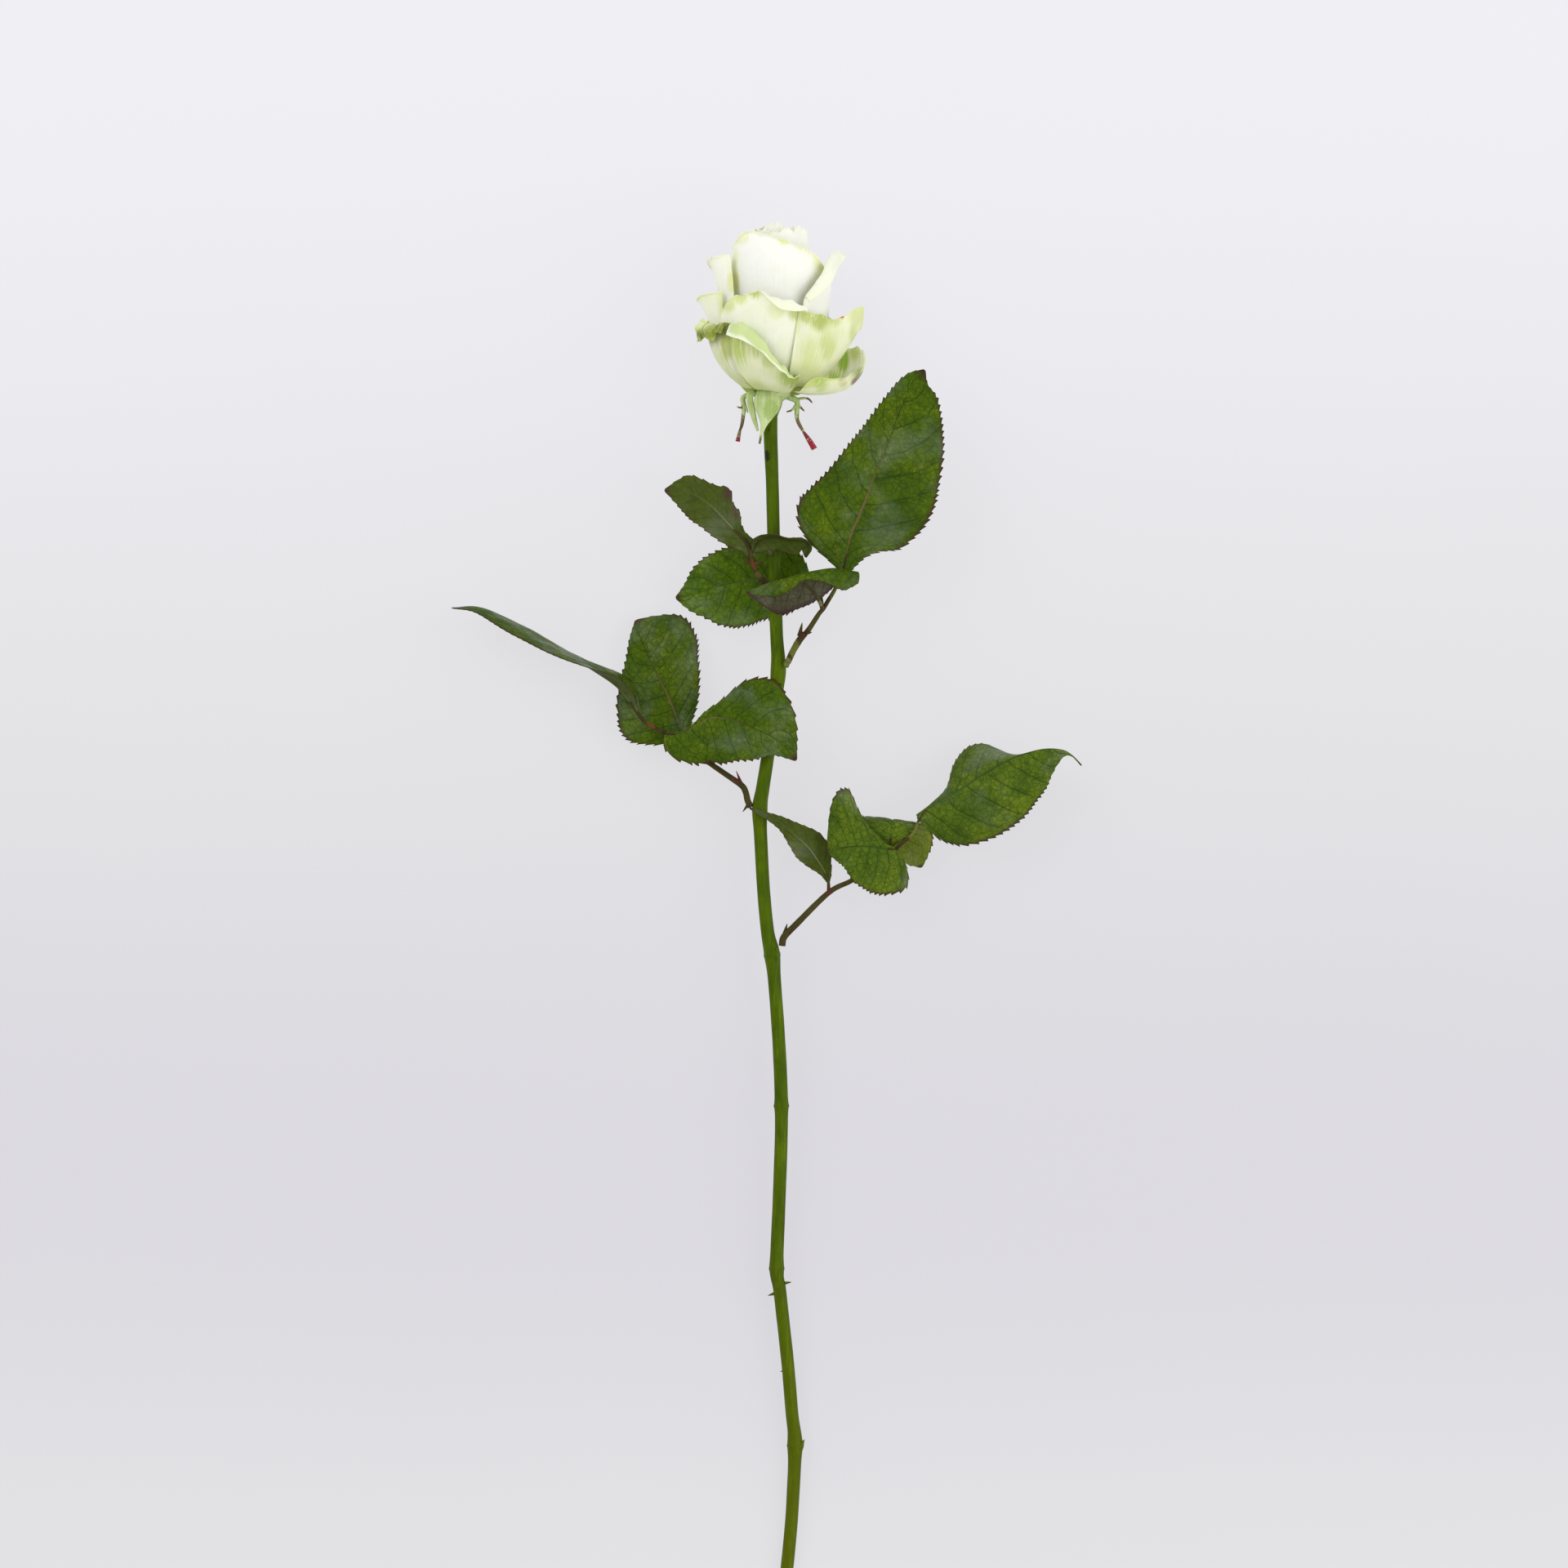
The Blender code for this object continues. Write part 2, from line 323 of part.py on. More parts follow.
# The broad sepals: leaf-like blades fused to the receptacle.
SEPAL_BLADES = (
    Leaflet("front", ((0.4, 188.4, 34.0), (0.2, 185.0, 34.4), (-0.4, 180.0, 33.6), (-1.4, 175.6, 33.0),
                      (-2.2, 172.4, 32.8), (-3.0, 168.8, 32.6)),
            left=(5.2, 5.8, 5.4, 3.2, 1.2, 0.5, 0.35), right=(5.2, 5.6, 4.9, 2.8, 1.0, 0.45, 0.35),
            facing=(0, 0, -1), fold_left=(8, 4), fold_right=(8, 4), bend_left=(45, 20),
            bend_right=(45, 20), sweep_left=(0, 0), sweep_right=(0, 0), wave=0.0, teeth=5, tooth=0.0),
    Leaflet("left", ((-4.6, 188.0, 30.6), (-6.6, 186.2, 31.0), (-5.9, 182.0, 30.4), (-4.8, 177.6, 30.0),
                     (-3.6, 173.6, 29.6)),
            left=(1.6, 1.3, 1.2, 0.9, 0.4), right=(1.6, 1.3, 1.2, 0.9, 0.4),
            facing=(0.5, 0, -0.85), sweep_left=(0, 0), sweep_right=(0, 0), wave=0.0, teeth=4, tooth=0.0),
    Leaflet("back", ((1.6, 188.6, 22.2), (1.4, 185.0, 21.4), (1.1, 180.0, 21.4), (0.9, 174.0, 21.4),
                     (0.4, 168.0, 20.8)),
            left=(4.6, 4.2, 2.4, 1.3, 0.4), right=(4.6, 4.0, 2.2, 1.2, 0.4),
            facing=(0, 0, 1), fold_left=(8, 4), fold_right=(8, 4), bend_left=(35, 15),
            bend_right=(35, 15), sweep_left=(0, 0), sweep_right=(0, 0), wave=0.0, teeth=4, tooth=0.0),
)

COLOURS = {
    "petal": ((0.86, 0.87, 0.74), 0.55),
    "guard": ((0.62, 0.70, 0.38), 0.55),
    "leaf": ((0.045, 0.13, 0.018), 0.38),
    "leaf_under": ((0.11, 0.16, 0.05), 0.5),
    "stem": ((0.075, 0.17, 0.008), 0.35),
    "stalk": ((0.13, 0.14, 0.03), 0.4),
    "calyx": ((0.30, 0.44, 0.14), 0.5),
}


def clear_scene():
    """Removes whatever the file opened with."""
    for obj in list(bpy.data.objects):
        bpy.data.objects.remove(obj, do_unlink=True)


def material(name):
    """The named finish, made once."""
    found = bpy.data.materials.get(name)
    if found:
        return found
    colour, roughness = COLOURS[name]
    made = bpy.data.materials.new(name)
    made.use_nodes = True
    shader = made.node_tree.nodes["Principled BSDF"]
    shader.inputs["Base Color"].default_value = (*colour, 1.0)
    shader.inputs["Roughness"].default_value = roughness
    return made


def add_solid(name, points, faces, finish):
    """One object from points in millimetres, with its finish."""
    mesh = bpy.data.meshes.new(name)
    mesh.from_pydata([tuple(Vector(p) * MM) for p in points], [], faces)
    mesh.materials.append(material(finish))
    mesh.shade_smooth()
    obj = bpy.data.objects.new(name, mesh)
    bpy.context.scene.collection.objects.link(obj)
    return obj


def curve_through(points, count):
    """count + 1 points, evenly spaced along the smooth curve through the given ones."""
    inner = [Vector(p) for p in points]
    ends = [2 * inner[0] - inner[1], *inner, 2 * inner[-1] - inner[-2]]
    dense = []
    for a, b, c, d in zip(ends, ends[1:], ends[2:], ends[3:]):
        for step in range(FINE):
            t = step / FINE
            bend = 2 * a - 5 * b + 4 * c - d + t * (3 * b - a - 3 * c + d)
            dense.append(b + 0.5 * t * ((c - a) + t * bend))
    dense.append(inner[-1])
    run = [0.0]
    for a, b in zip(dense, dense[1:]):
        run.append(run[-1] + (b - a).length)
    picked, k = [], 0
    for step in range(count + 1):
        goal = run[-1] * step / count
        while k < len(run) - 2 and run[k + 1] < goal:
            k += 1
        share = (goal - run[k]) / max(run[k + 1] - run[k], 1e-9)
        picked.append(dense[k].lerp(dense[k + 1], min(max(share, 0.0), 1.0)))
    return picked


def smooth_value(values, t):
    """The value at t, from 0 to 1, of the smooth curve through evenly spaced values."""
    t = min(max(t, 0.0), 1.0) * (len(values) - 1)
    k = min(int(t), len(values) - 2)
    t -= k
    b, c = values[k], values[k + 1]
    a = values[k - 1] if k else 2 * b - c
    d = values[k + 2] if k + 2 < len(values) else 2 * c - b
    value = b + 0.5 * t * ((c - a) + t * (2 * a - 5 * b + 4 * c - d + t * (3 * b - a - 3 * c + d)))
    return min(max(value, min(b, c)), max(b, c)) if min(values) >= 0 else value


def tangents(points):
    """The direction of a route at each of its points."""
    last = len(points) - 1
    return [(points[min(k + 1, last)] - points[max(k - 1, 0)]).normalized() for k in range(last + 1)]


def carried_normals(points, start):
    """A normal at each point, carried along the route without twisting."""
    along = tangents(points)
    normal = (start - along[0] * start.dot(along[0])).normalized()
    normals = [normal]
    for before, after in zip(along, along[1:]):
        normal = before.rotation_difference(after) @ normal
        normal = (normal - after * normal.dot(after)).normalized()
        normals.append(normal)
    return along, normals


def tube(route, radii, sides, slant=0.0):
    """Points and faces of a closed tube, with a ring of the given radius at each point."""
    along, normals = carried_normals(route, Vector((0.1, 0.2, 1.0)))
    points = []
    for k, (centre, ahead, normal, radius) in enumerate(zip(route, along, normals, radii)):
        across = ahead.cross(normal)
        for side in range(sides):
            turn = 2 * math.pi * side / sides
            spoke = normal * math.cos(turn) + across * math.sin(turn)
            lean = slant * radius * math.sin(turn) if k == len(route) - 1 else 0.0
            points.append(centre + spoke * radius + ahead * lean)
    faces = []
    for ring in range(len(route) - 1):
        for side in range(sides):
            a = ring * sides + side
            b = ring * sides + (side + 1) % sides
            faces.append((a, a + sides, b + sides, b))
    faces.append(tuple(range(sides)))
    faces.append(tuple(reversed(range((len(route) - 1) * sides, len(route) * sides))))
    return points, faces


def ball(centre, radius, rings=4, sides=8):
    """Points and faces of a small closed ball."""
    points = [centre + Vector((0, 0, radius))]
    for ring in range(1, rings):
        polar = math.pi * ring / rings
        for side in range(sides):
            turn = 2 * math.pi * side / sides
            points.append(centre + radius * Vector((math.sin(polar) * math.cos(turn),
                                                    math.sin(polar) * math.sin(turn), math.cos(polar))))
    points.append(centre - Vector((0, 0, radius)))
    faces = [(0, 1 + side, 1 + (side + 1) % sides) for side in range(sides)]
    for ring in range(rings - 2):
        for side in range(sides):
            a = 1 + ring * sides + side
            b = 1 + ring * sides + (side + 1) % sides
            faces.append((a, a + sides, b + sides, b))
    first = 1 + (rings - 2) * sides
    faces.extend((len(points) - 1, first + (side + 1) % sides, first + side) for side in range(sides))
    return points, faces


def spike(root, tip, radius, sides=5):
    """Points and faces of a closed cone with a small blunt tip."""
    root, tip = Vector(root), Vector(tip)
    return tube([root, root.lerp(tip, 0.5), tip], [radius, radius * 0.6, 0.12], sides)


def thickened(grid, normals, thickness, floor=None):
    """Points and faces of a sheet: both faces are split into triangles alike."""
    rows, columns = len(grid), len(grid[0])
    half = thickness / 2
    points = []
    for side in (1, -1):
        for row, normal_row in zip(grid, normals):
            for point, normal in zip(row, normal_row):
                moved = point + normal * (side * half)
                if floor is not None:
                    moved.z = max(moved.z, floor if side > 0 else floor + thickness)
                points.append(moved)
    under = rows * columns
    faces = []
    for i in range(rows - 1):
        for j in range(columns - 1):
            a = i * columns + j
            b, c, d = a + 1, a + 1 + columns, a + columns
            for triangle in (((a, b, c), (a, c, d)) if (i + j) % 2 else ((a, b, d), (b, c, d))):
                faces.append(triangle)
                faces.append(tuple(under + k for k in reversed(triangle)))
    edge = [j for j in range(columns - 1)]
    edge += [i * columns + columns - 1 for i in range(rows - 1)]
    edge += [(rows - 1) * columns + j for j in range(columns - 1, 0, -1)]
    edge += [i * columns for i in range(rows - 1, 0, -1)]
    for a, b in zip(edge, edge[1:] + edge[:1]):
        faces.append((b, a, under + a))
        faces.append((b, under + a, under + b))
    return points, faces


def sheet_normals(grid):
    """The normal at each point of a grid of points."""
    rows, columns = len(grid), len(grid[0])
    normals = []
    for i in range(rows):
        row = []
        for j in range(columns):
            ahead = grid[min(i + 1, rows - 1)][j] - grid[max(i - 1, 0)][j]
            across = grid[i][min(j + 1, columns - 1)] - grid[i][max(j - 1, 0)]
            row.append(across.cross(ahead).normalized())
        normals.append(row)
    return normals


def arc_run(length, start, bend):
    """How far an arc of this length goes (along, up), from its first angle and its whole bend."""
    first, turn = math.radians(start), math.radians(bend)
    if abs(turn) < 1e-4:
        return length * math.cos(first), length * math.sin(first)
    last = first + turn
    return (length * (math.sin(last) - math.sin(first)) / turn,
            length * (math.cos(first) - math.cos(last)) / turn)


def leaflet_grid(leaf, rows, columns):
    """The leaflet's middle surface, its normals, and the directions along it."""
    spine = curve_through(leaf.midrib, rows)
    along, normals = carried_normals(spine, Vector(leaf.facing))
    grid = []
    for i, (centre, ahead, normal) in enumerate(zip(spine, along, normals)):
        t = i / rows
        normal = Quaternion(ahead, math.radians(smooth_value(leaf.roll, t))) @ normal
        right = ahead.cross(normal)
        row = []
        for j in range(-columns, columns + 1):
            share, side = abs(j) / columns, (1 if j > 0 else -1)
            wide = smooth_value(leaf.right if j > 0 else leaf.left, t)
            fold = smooth_value(leaf.fold_right if j > 0 else leaf.fold_left, t)
            bend = smooth_value(leaf.bend_right if j > 0 else leaf.bend_left, t)
            out, up = arc_run(wide * share, fold, bend * share)
            sweep = math.radians(smooth_value(leaf.sweep_right if j > 0 else leaf.sweep_left, t))
            ripple = leaf.wave * share * share * math.sin(9.5 * t + 1.7 * side) * min(1.0, wide / 8)
            outward = right * (side * math.cos(sweep)) + ahead * math.sin(sweep)
            row.append(centre + outward * out + normal * (up + ripple))
        grid.append(row)
    return grid, along


def leaflet_solid(leaf):
    """Points and faces of one leaflet with its saw-toothed edge."""
    rows = 2 * leaf.teeth
    grid, along = leaflet_grid(leaf, rows, leaf.columns)
    normals = sheet_normals(grid)
    pitch = sum((grid[i + 1][leaf.columns] - grid[i][leaf.columns]).length for i in range(rows)) / rows
    for i in range(1, rows, 2):
        for edge, inner in ((0, 1), (-1, -2)):
            outward = (grid[i][edge] - grid[i][inner]).normalized()
            size = min(leaf.tooth, 0.3 * (grid[i][edge] - grid[i][inner]).length)
            grid[i][edge] = grid[i][edge] + outward * size + along[i] * (0.45 * pitch * size)
    return thickened(grid, normals, LEAF_THICKNESS)


def whorl_curve(name):
    """The whorl's profile as closely spaced (radius, height) points."""
    return curve_through([(r, h, 0.0) for r, h in WHORLS[name]], 120)


def bloom_point(radius, height, turn, sideways=0.0):
    """A point of the bloom from its radius and height on the bloom's axis and its turn in degrees."""
    x = radius * math.sin(math.radians(turn)) + sideways
    z = radius * math.cos(math.radians(turn))
    sine, cosine = math.sin(BLOOM_LEAN), math.cos(BLOOM_LEAN)
    return BLOOM_BASE + Vector((x * cosine + height * sine, height * cosine - x * sine, z))


def petal_grid(petal, columns, rows, roll_rows):
    """The petal's middle surface: rows up its profile, then rows round its rolled rim."""
    curve = whorl_curve(petal.whorl)
    step = (curve[1] - curve[0]).length
    grid = [[] for _ in range(rows + roll_rows + 1)]
    for j in range(columns + 1):
        u = 2 * j / columns - 1
        across = j / columns
        height = smooth_value(petal.rim, across)
        top = len(curve) - 1
        while top > 1 and curve[top - 1].y >= height:
            top -= 1
        share = (height - curve[top - 1].y) / max(curve[top].y - curve[top - 1].y, 1e-6)
        reach = top - 1 + min(max(share, 0.0), 1.0)
        roll = smooth_value(petal.roll, across)
        arc = max(petal.roll_radius * math.radians(roll), 1.4)
        lip = smooth_value(petal.lip, across)
        flare = smooth_value(petal.flare, across)
        whole = reach * step + arc + lip
        for i in range(rows + roll_rows + 1):
            if i <= rows:
                place = reach * (i / rows) ** 1.2
                extra = 0.0
            else:
                place = reach
                extra = (arc + lip) * (i - rows) / roll_rows
            k = min(int(place), len(curve) - 2)
            point = curve[k].lerp(curve[k + 1], place - k)
            v = (place * step + extra) / whole
            rise = place / reach
            ahead = (curve[k + 1] - curve[k]).normalized()
            shift = petal.out * min(1.0, rise / 0.3)
            radius = point.x + shift * ahead.y + flare * rise ** petal.flare_power
            height_now = point.y - shift * ahead.x
            if extra:
                lead = math.atan2(ahead.y, ahead.x + petal.flare_power * flare / (reach * step))
                bent = min(extra, arc)
                run, up = arc_run(bent, math.degrees(lead), -roll * bent / arc)
                last = lead - math.radians(roll)
                radius += run + (extra - bent) * math.cos(last)
                height_now += up + (extra - bent) * math.sin(last)
            wave = petal.ruffle * v ** 4 * math.sin(5.5 * u + 0.07 * petal.turn) * 2
            half = smooth_value(petal.half_width, v)
            grid[i].append(bloom_point(radius + wave, height_now, petal.turn + u * half))
    return grid


def petal_solid(petal):
    """Points and faces of one petal. The lowest one is pressed flat where the bloom rests."""
    grid = petal_grid(petal, petal.columns, petal.rows, petal.roll_rows)
    normals = sheet_normals(grid)
    resting = petal.name == "petal_guard_under"
    return thickened(grid, normals, petal.thickness, 0.0 if resting else None)


def heart_solid(columns=20, rows=5):
    """Points and faces of the rolled heart: one sheet wound round itself."""
    curve = whorl_curve("heart")
    grid = []
    for i in range(rows + 1):
        row = []
        for j in range(columns + 1):
            u = j / columns
            height = smooth_value(HEART_TOP, u)
            place = (len(curve) - 1) * min(1.0, (i / rows) * height / WHORLS["heart"][-1][1])
            k = min(int(place), len(curve) - 2)
            point = curve[k].lerp(curve[k + 1], place - k)
            wound = (0.32 + 0.68 * u) if i else (0.6 + 0.4 * u)
            row.append(bloom_point(point.x * wound, point.y, 360 * HEART_TURNS * u + 40))
        grid.append(row)
    return thickened(grid, sheet_normals(grid), 0.6)


def fused(name, solids, finish):
    """One object from solids that meet, by one Boolean union on a collection."""
    body = add_solid(name, *solids[0], finish)
    if len(solids) == 1:
        return body
    group = bpy.data.collections.new(name + "_pieces")
    for number, (points, faces) in enumerate(solids[1:]):
        piece = add_solid(f"{name}_piece_{number}", points, faces, finish)
        group.objects.link(piece)
    union = body.modifiers.new("union", "BOOLEAN")
    union.operation = "UNION"
    union.solver = "EXACT"
    union.operand_type = "COLLECTION"
    union.collection = group
    whole = bpy.data.meshes.new_from_object(body.evaluated_get(bpy.context.evaluated_depsgraph_get()))
    body.modifiers.clear()
    body.data = whole
    whole.name = name
    for piece in list(group.objects):
        bpy.data.objects.remove(piece, do_unlink=True)
    bpy.data.collections.remove(group)
    return body


def stem_height(y):
    """The stem's centre line height where it passes y."""
    for (_, y1, z1, _), (_, y2, z2, _) in zip(STEM_ROUTE, STEM_ROUTE[1:]):
        if y2 <= y <= y1:
            return z1 + (z2 - z1) * (y1 - y) / (y1 - y2)
    return STEM_ROUTE[-1][2]


def make_stem():
    """The stem with its swellings, buds and prickles."""
    route = curve_through([(x, y, z) for x, y, z, _ in STEM_ROUTE], 52)
    radii = []
    for point in route:
        place = min(range(len(STEM_ROUTE)), key=lambda k: abs(STEM_ROUTE[k][1] - point.y))
        swell = sum(grow * math.exp(-((point.y - y) / length) ** 2) for y, grow, length in STEM_NODES)
        radii.append(STEM_ROUTE[place][3] + swell)
    solids = [tube(route, radii, 10, CUT_SLANT)]
    for x, y, up, radius in STEM_BUDS:
        solids.append(ball(Vector((x, y, stem_height(y) + up)), radius))
    for (x, y, up), tip in STEM_PRICKLES:
        root = Vector((x, y, stem_height(y) + up))
        solids.append(spike(root, root + Vector(tip), 0.7))
    return fused("stem", solids, "stem")


def make_calyx():
    """The receptacle with its sepals."""
    sides = 16
    points, faces = [], []
    low = RECEPTACLE[0][1]
    for radius, height in RECEPTACLE:
        shift = RECEPTACLE_FOOT_SHIFT * min(1.0, max(0.0, (-2.0 - height) / (-2.0 - low)))
        for side in range(sides):
            points.append(bloom_point(radius, height, 360 * side / sides, shift))
    for ring in range(len(RECEPTACLE) - 1):
        for side in range(sides):
            a = ring * sides + side
            b = ring * sides + (side + 1) % sides
            faces.append((a, b, b + sides, a + sides))
    faces.append(tuple(reversed(range(sides))))
    faces.append(tuple(range((len(RECEPTACLE) - 1) * sides, len(RECEPTACLE) * sides)))
    solids = [(points, faces)]
    solids += [leaflet_solid(blade) for blade in SEPAL_BLADES]
    for route, first, last in SEPAL_TAILS:
        count = 2 * (len(route) - 1)
        radii = [first + (last - first) * k / count for k in range(count + 1)]
        solids.append(tube(curve_through(route, count), radii, 5))
    return fused("calyx", solids, "calyx")


def make_stalk(stalk):
    """A leaf stalk with its branches and stipules."""
    solids = []
    for route, first, last in stalk.tubes:
        count = max(3, 2 * (len(route) - 1))
        radii = [first + (last - first) * k / count for k in range(count + 1)]
        solids.append(tube(curve_through(route, count), radii, 7))
    solids += [spike(root, tip, radius) for root, tip, radius in stalk.spikes]
    return fused(stalk.name, solids, "stalk")


def main():
    """Builds every piece of the rose."""
    clear_scene()
    make_stem()
    make_calyx()
    for stalk in STALKS:
        make_stalk(stalk)
    for leaf in LEAFLETS:
        add_solid(leaf.name, *leaflet_solid(leaf), leaf.colour)
    for petal in PETALS:
        add_solid(petal.name, *petal_solid(petal), petal.colour)
    add_solid("petal_heart", *heart_solid(), "petal")


main()
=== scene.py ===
"""A cut white rose, laid on a pale floor and seen from straight above.

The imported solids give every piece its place. Here each one is replaced by a finer piece of the same form:
thin petals with rolled and scalloped rims, leaflets with saw teeth and sunken veins, a stem with buds and
scars. Sizes are in millimetres and turn to metres when a mesh is laid out. X runs to the right as seen from
above, Y from the cut end up to the bloom, and Z up from the floor.
"""

import logging
import math
from collections import Counter
from dataclasses import dataclass, field
from enum import Enum
from typing import Iterable, Optional, Sequence

import bpy
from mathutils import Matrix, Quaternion, Vector, noise


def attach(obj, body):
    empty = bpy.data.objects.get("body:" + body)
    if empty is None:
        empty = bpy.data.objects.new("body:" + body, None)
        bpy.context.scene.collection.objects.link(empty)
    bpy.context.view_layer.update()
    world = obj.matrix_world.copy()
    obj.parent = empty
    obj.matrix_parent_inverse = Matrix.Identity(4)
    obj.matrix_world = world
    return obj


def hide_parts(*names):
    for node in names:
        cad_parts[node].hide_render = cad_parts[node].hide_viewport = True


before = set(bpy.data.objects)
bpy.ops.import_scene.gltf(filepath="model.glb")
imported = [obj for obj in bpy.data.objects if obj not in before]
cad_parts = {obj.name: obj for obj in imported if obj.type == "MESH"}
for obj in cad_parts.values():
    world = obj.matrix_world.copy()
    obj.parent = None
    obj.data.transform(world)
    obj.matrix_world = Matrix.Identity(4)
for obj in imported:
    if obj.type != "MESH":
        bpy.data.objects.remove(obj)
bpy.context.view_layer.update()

LOG = logging.getLogger("rose")
MM = 0.001
BODY = "root"

Colour = tuple[float, float, float]
Point = tuple[float, float, float]
Values = tuple[float, ...]
Piece = bpy.types.Object
Paint = dict[str, bpy.types.Material]
Socket = bpy.types.NodeSocket


class Slot(Enum):
    """The record's material slots."""

    PETAL = "petal"
    GUARD = "guard"
    LEAF = "leaf"
    LEAF_UNDER = "leaf_under"
    STEM = "stem"
    STALK = "stalk"
    CALYX = "calyx"


class Side(Enum):
    """Which half of a blade a place is on, as seen from its upper side with its tip up."""

    LEFT = -1
    RIGHT = 1


def smooth_value(values: Values, t: float) -> float:
    """The value at t of the smooth curve through evenly spaced values.

    Args:
        values: the values, first to last.
        t: the place, from 0 to 1.

    Returns:
        The value there, kept between its two neighbours where none of the values is negative.
    """
    t = min(max(t, 0.0), 1.0) * (len(values) - 1)
    k = min(int(t), len(values) - 2)
    t -= k
    b, c = values[k], values[k + 1]
    a = values[k - 1] if k else 2 * b - c
    d = values[k + 2] if k + 2 < len(values) else 2 * c - b
    value = b + 0.5 * t * ((c - a) + t * (2 * a - 5 * b + 4 * c - d + t * (3 * b - a - 3 * c + d)))
    return min(max(value, min(b, c)), max(b, c)) if min(values) >= 0 else value


def arc_run(length: float, start: float, bend: float) -> tuple[float, float]:
    """How far an arc goes.

    Args:
        length: the arc's length.
        start: its first angle, in degrees.
        bend: its whole bend, in degrees.

    Returns:
        How far it goes along and up.
    """
    first, turn = math.radians(start), math.radians(bend)
    if abs(turn) < 1e-4:
        return length * math.cos(first), length * math.sin(first)
    last = first + turn
    return (length * (math.sin(last) - math.sin(first)) / turn,
            length * (math.cos(first) - math.cos(last)) / turn)


def soft_noise(point: Vector, pitch: float, seed: float = 0.0) -> float:
    """Smooth noise from -1 to 1.

    Args:
        point: the place, in millimetres.
        pitch: about how far apart its swells are, in millimetres.
        seed: moves the pattern.

    Returns:
        The noise there.
    """
    return noise.noise(point / pitch + Vector((seed, 0.37 * seed, -seed)))


class Route:
    """A smooth curve through given points, cut into even steps."""

    FINE = 12

    def __init__(self, points: Sequence[Sequence[float]], count: int) -> None:
        """Spaces the steps.

        Args:
            points: the points that the curve passes, in millimetres.
            count: how many steps it is cut into.
        """
        inner = [Vector(p[:3]) for p in points]
        ends = [2 * inner[0] - inner[1], *inner, 2 * inner[-1] - inner[-2]]
        dense: list[Vector] = []
        for a, b, c, d in zip(ends, ends[1:], ends[2:], ends[3:]):
            for step in range(self.FINE):
                t = step / self.FINE
                bend = 2 * a - 5 * b + 4 * c - d + t * (3 * b - a - 3 * c + d)
                dense.append(b + 0.5 * t * ((c - a) + t * bend))
        dense.append(inner[-1])
        run = [0.0]
        for a, b in zip(dense, dense[1:]):
            run.append(run[-1] + (b - a).length)
        self.length: float = run[-1]
        self.points: list[Vector] = []
        k = 0
        for step in range(count + 1):
            goal = run[-1] * step / count
            while k < len(run) - 2 and run[k + 1] < goal:
                k += 1
            share = (goal - run[k]) / max(run[k + 1] - run[k], 1e-9)
            self.points.append(dense[k].lerp(dense[k + 1], min(max(share, 0.0), 1.0)))

    def ahead(self) -> list[Vector]:
        """The direction at each point.

        Returns:
            The directions, each of length 1.
        """
        last = len(self.points) - 1
        return [(self.points[min(k + 1, last)] - self.points[max(k - 1, 0)]).normalized()
                for k in range(last + 1)]

    def normals(self, start: Vector) -> list[Vector]:
        """A normal at each point, carried along without twisting.

        Args:
            start: about where the first one points.

        Returns:
            The normals.
        """
        along = self.ahead()
        normal = (start - along[0] * start.dot(along[0])).normalized()
        found = [normal]
        for before, after in zip(along, along[1:]):
            normal = before.rotation_difference(after) @ normal
            normal = (normal - after * normal.dot(after)).normalized()
            found.append(normal)
        return found


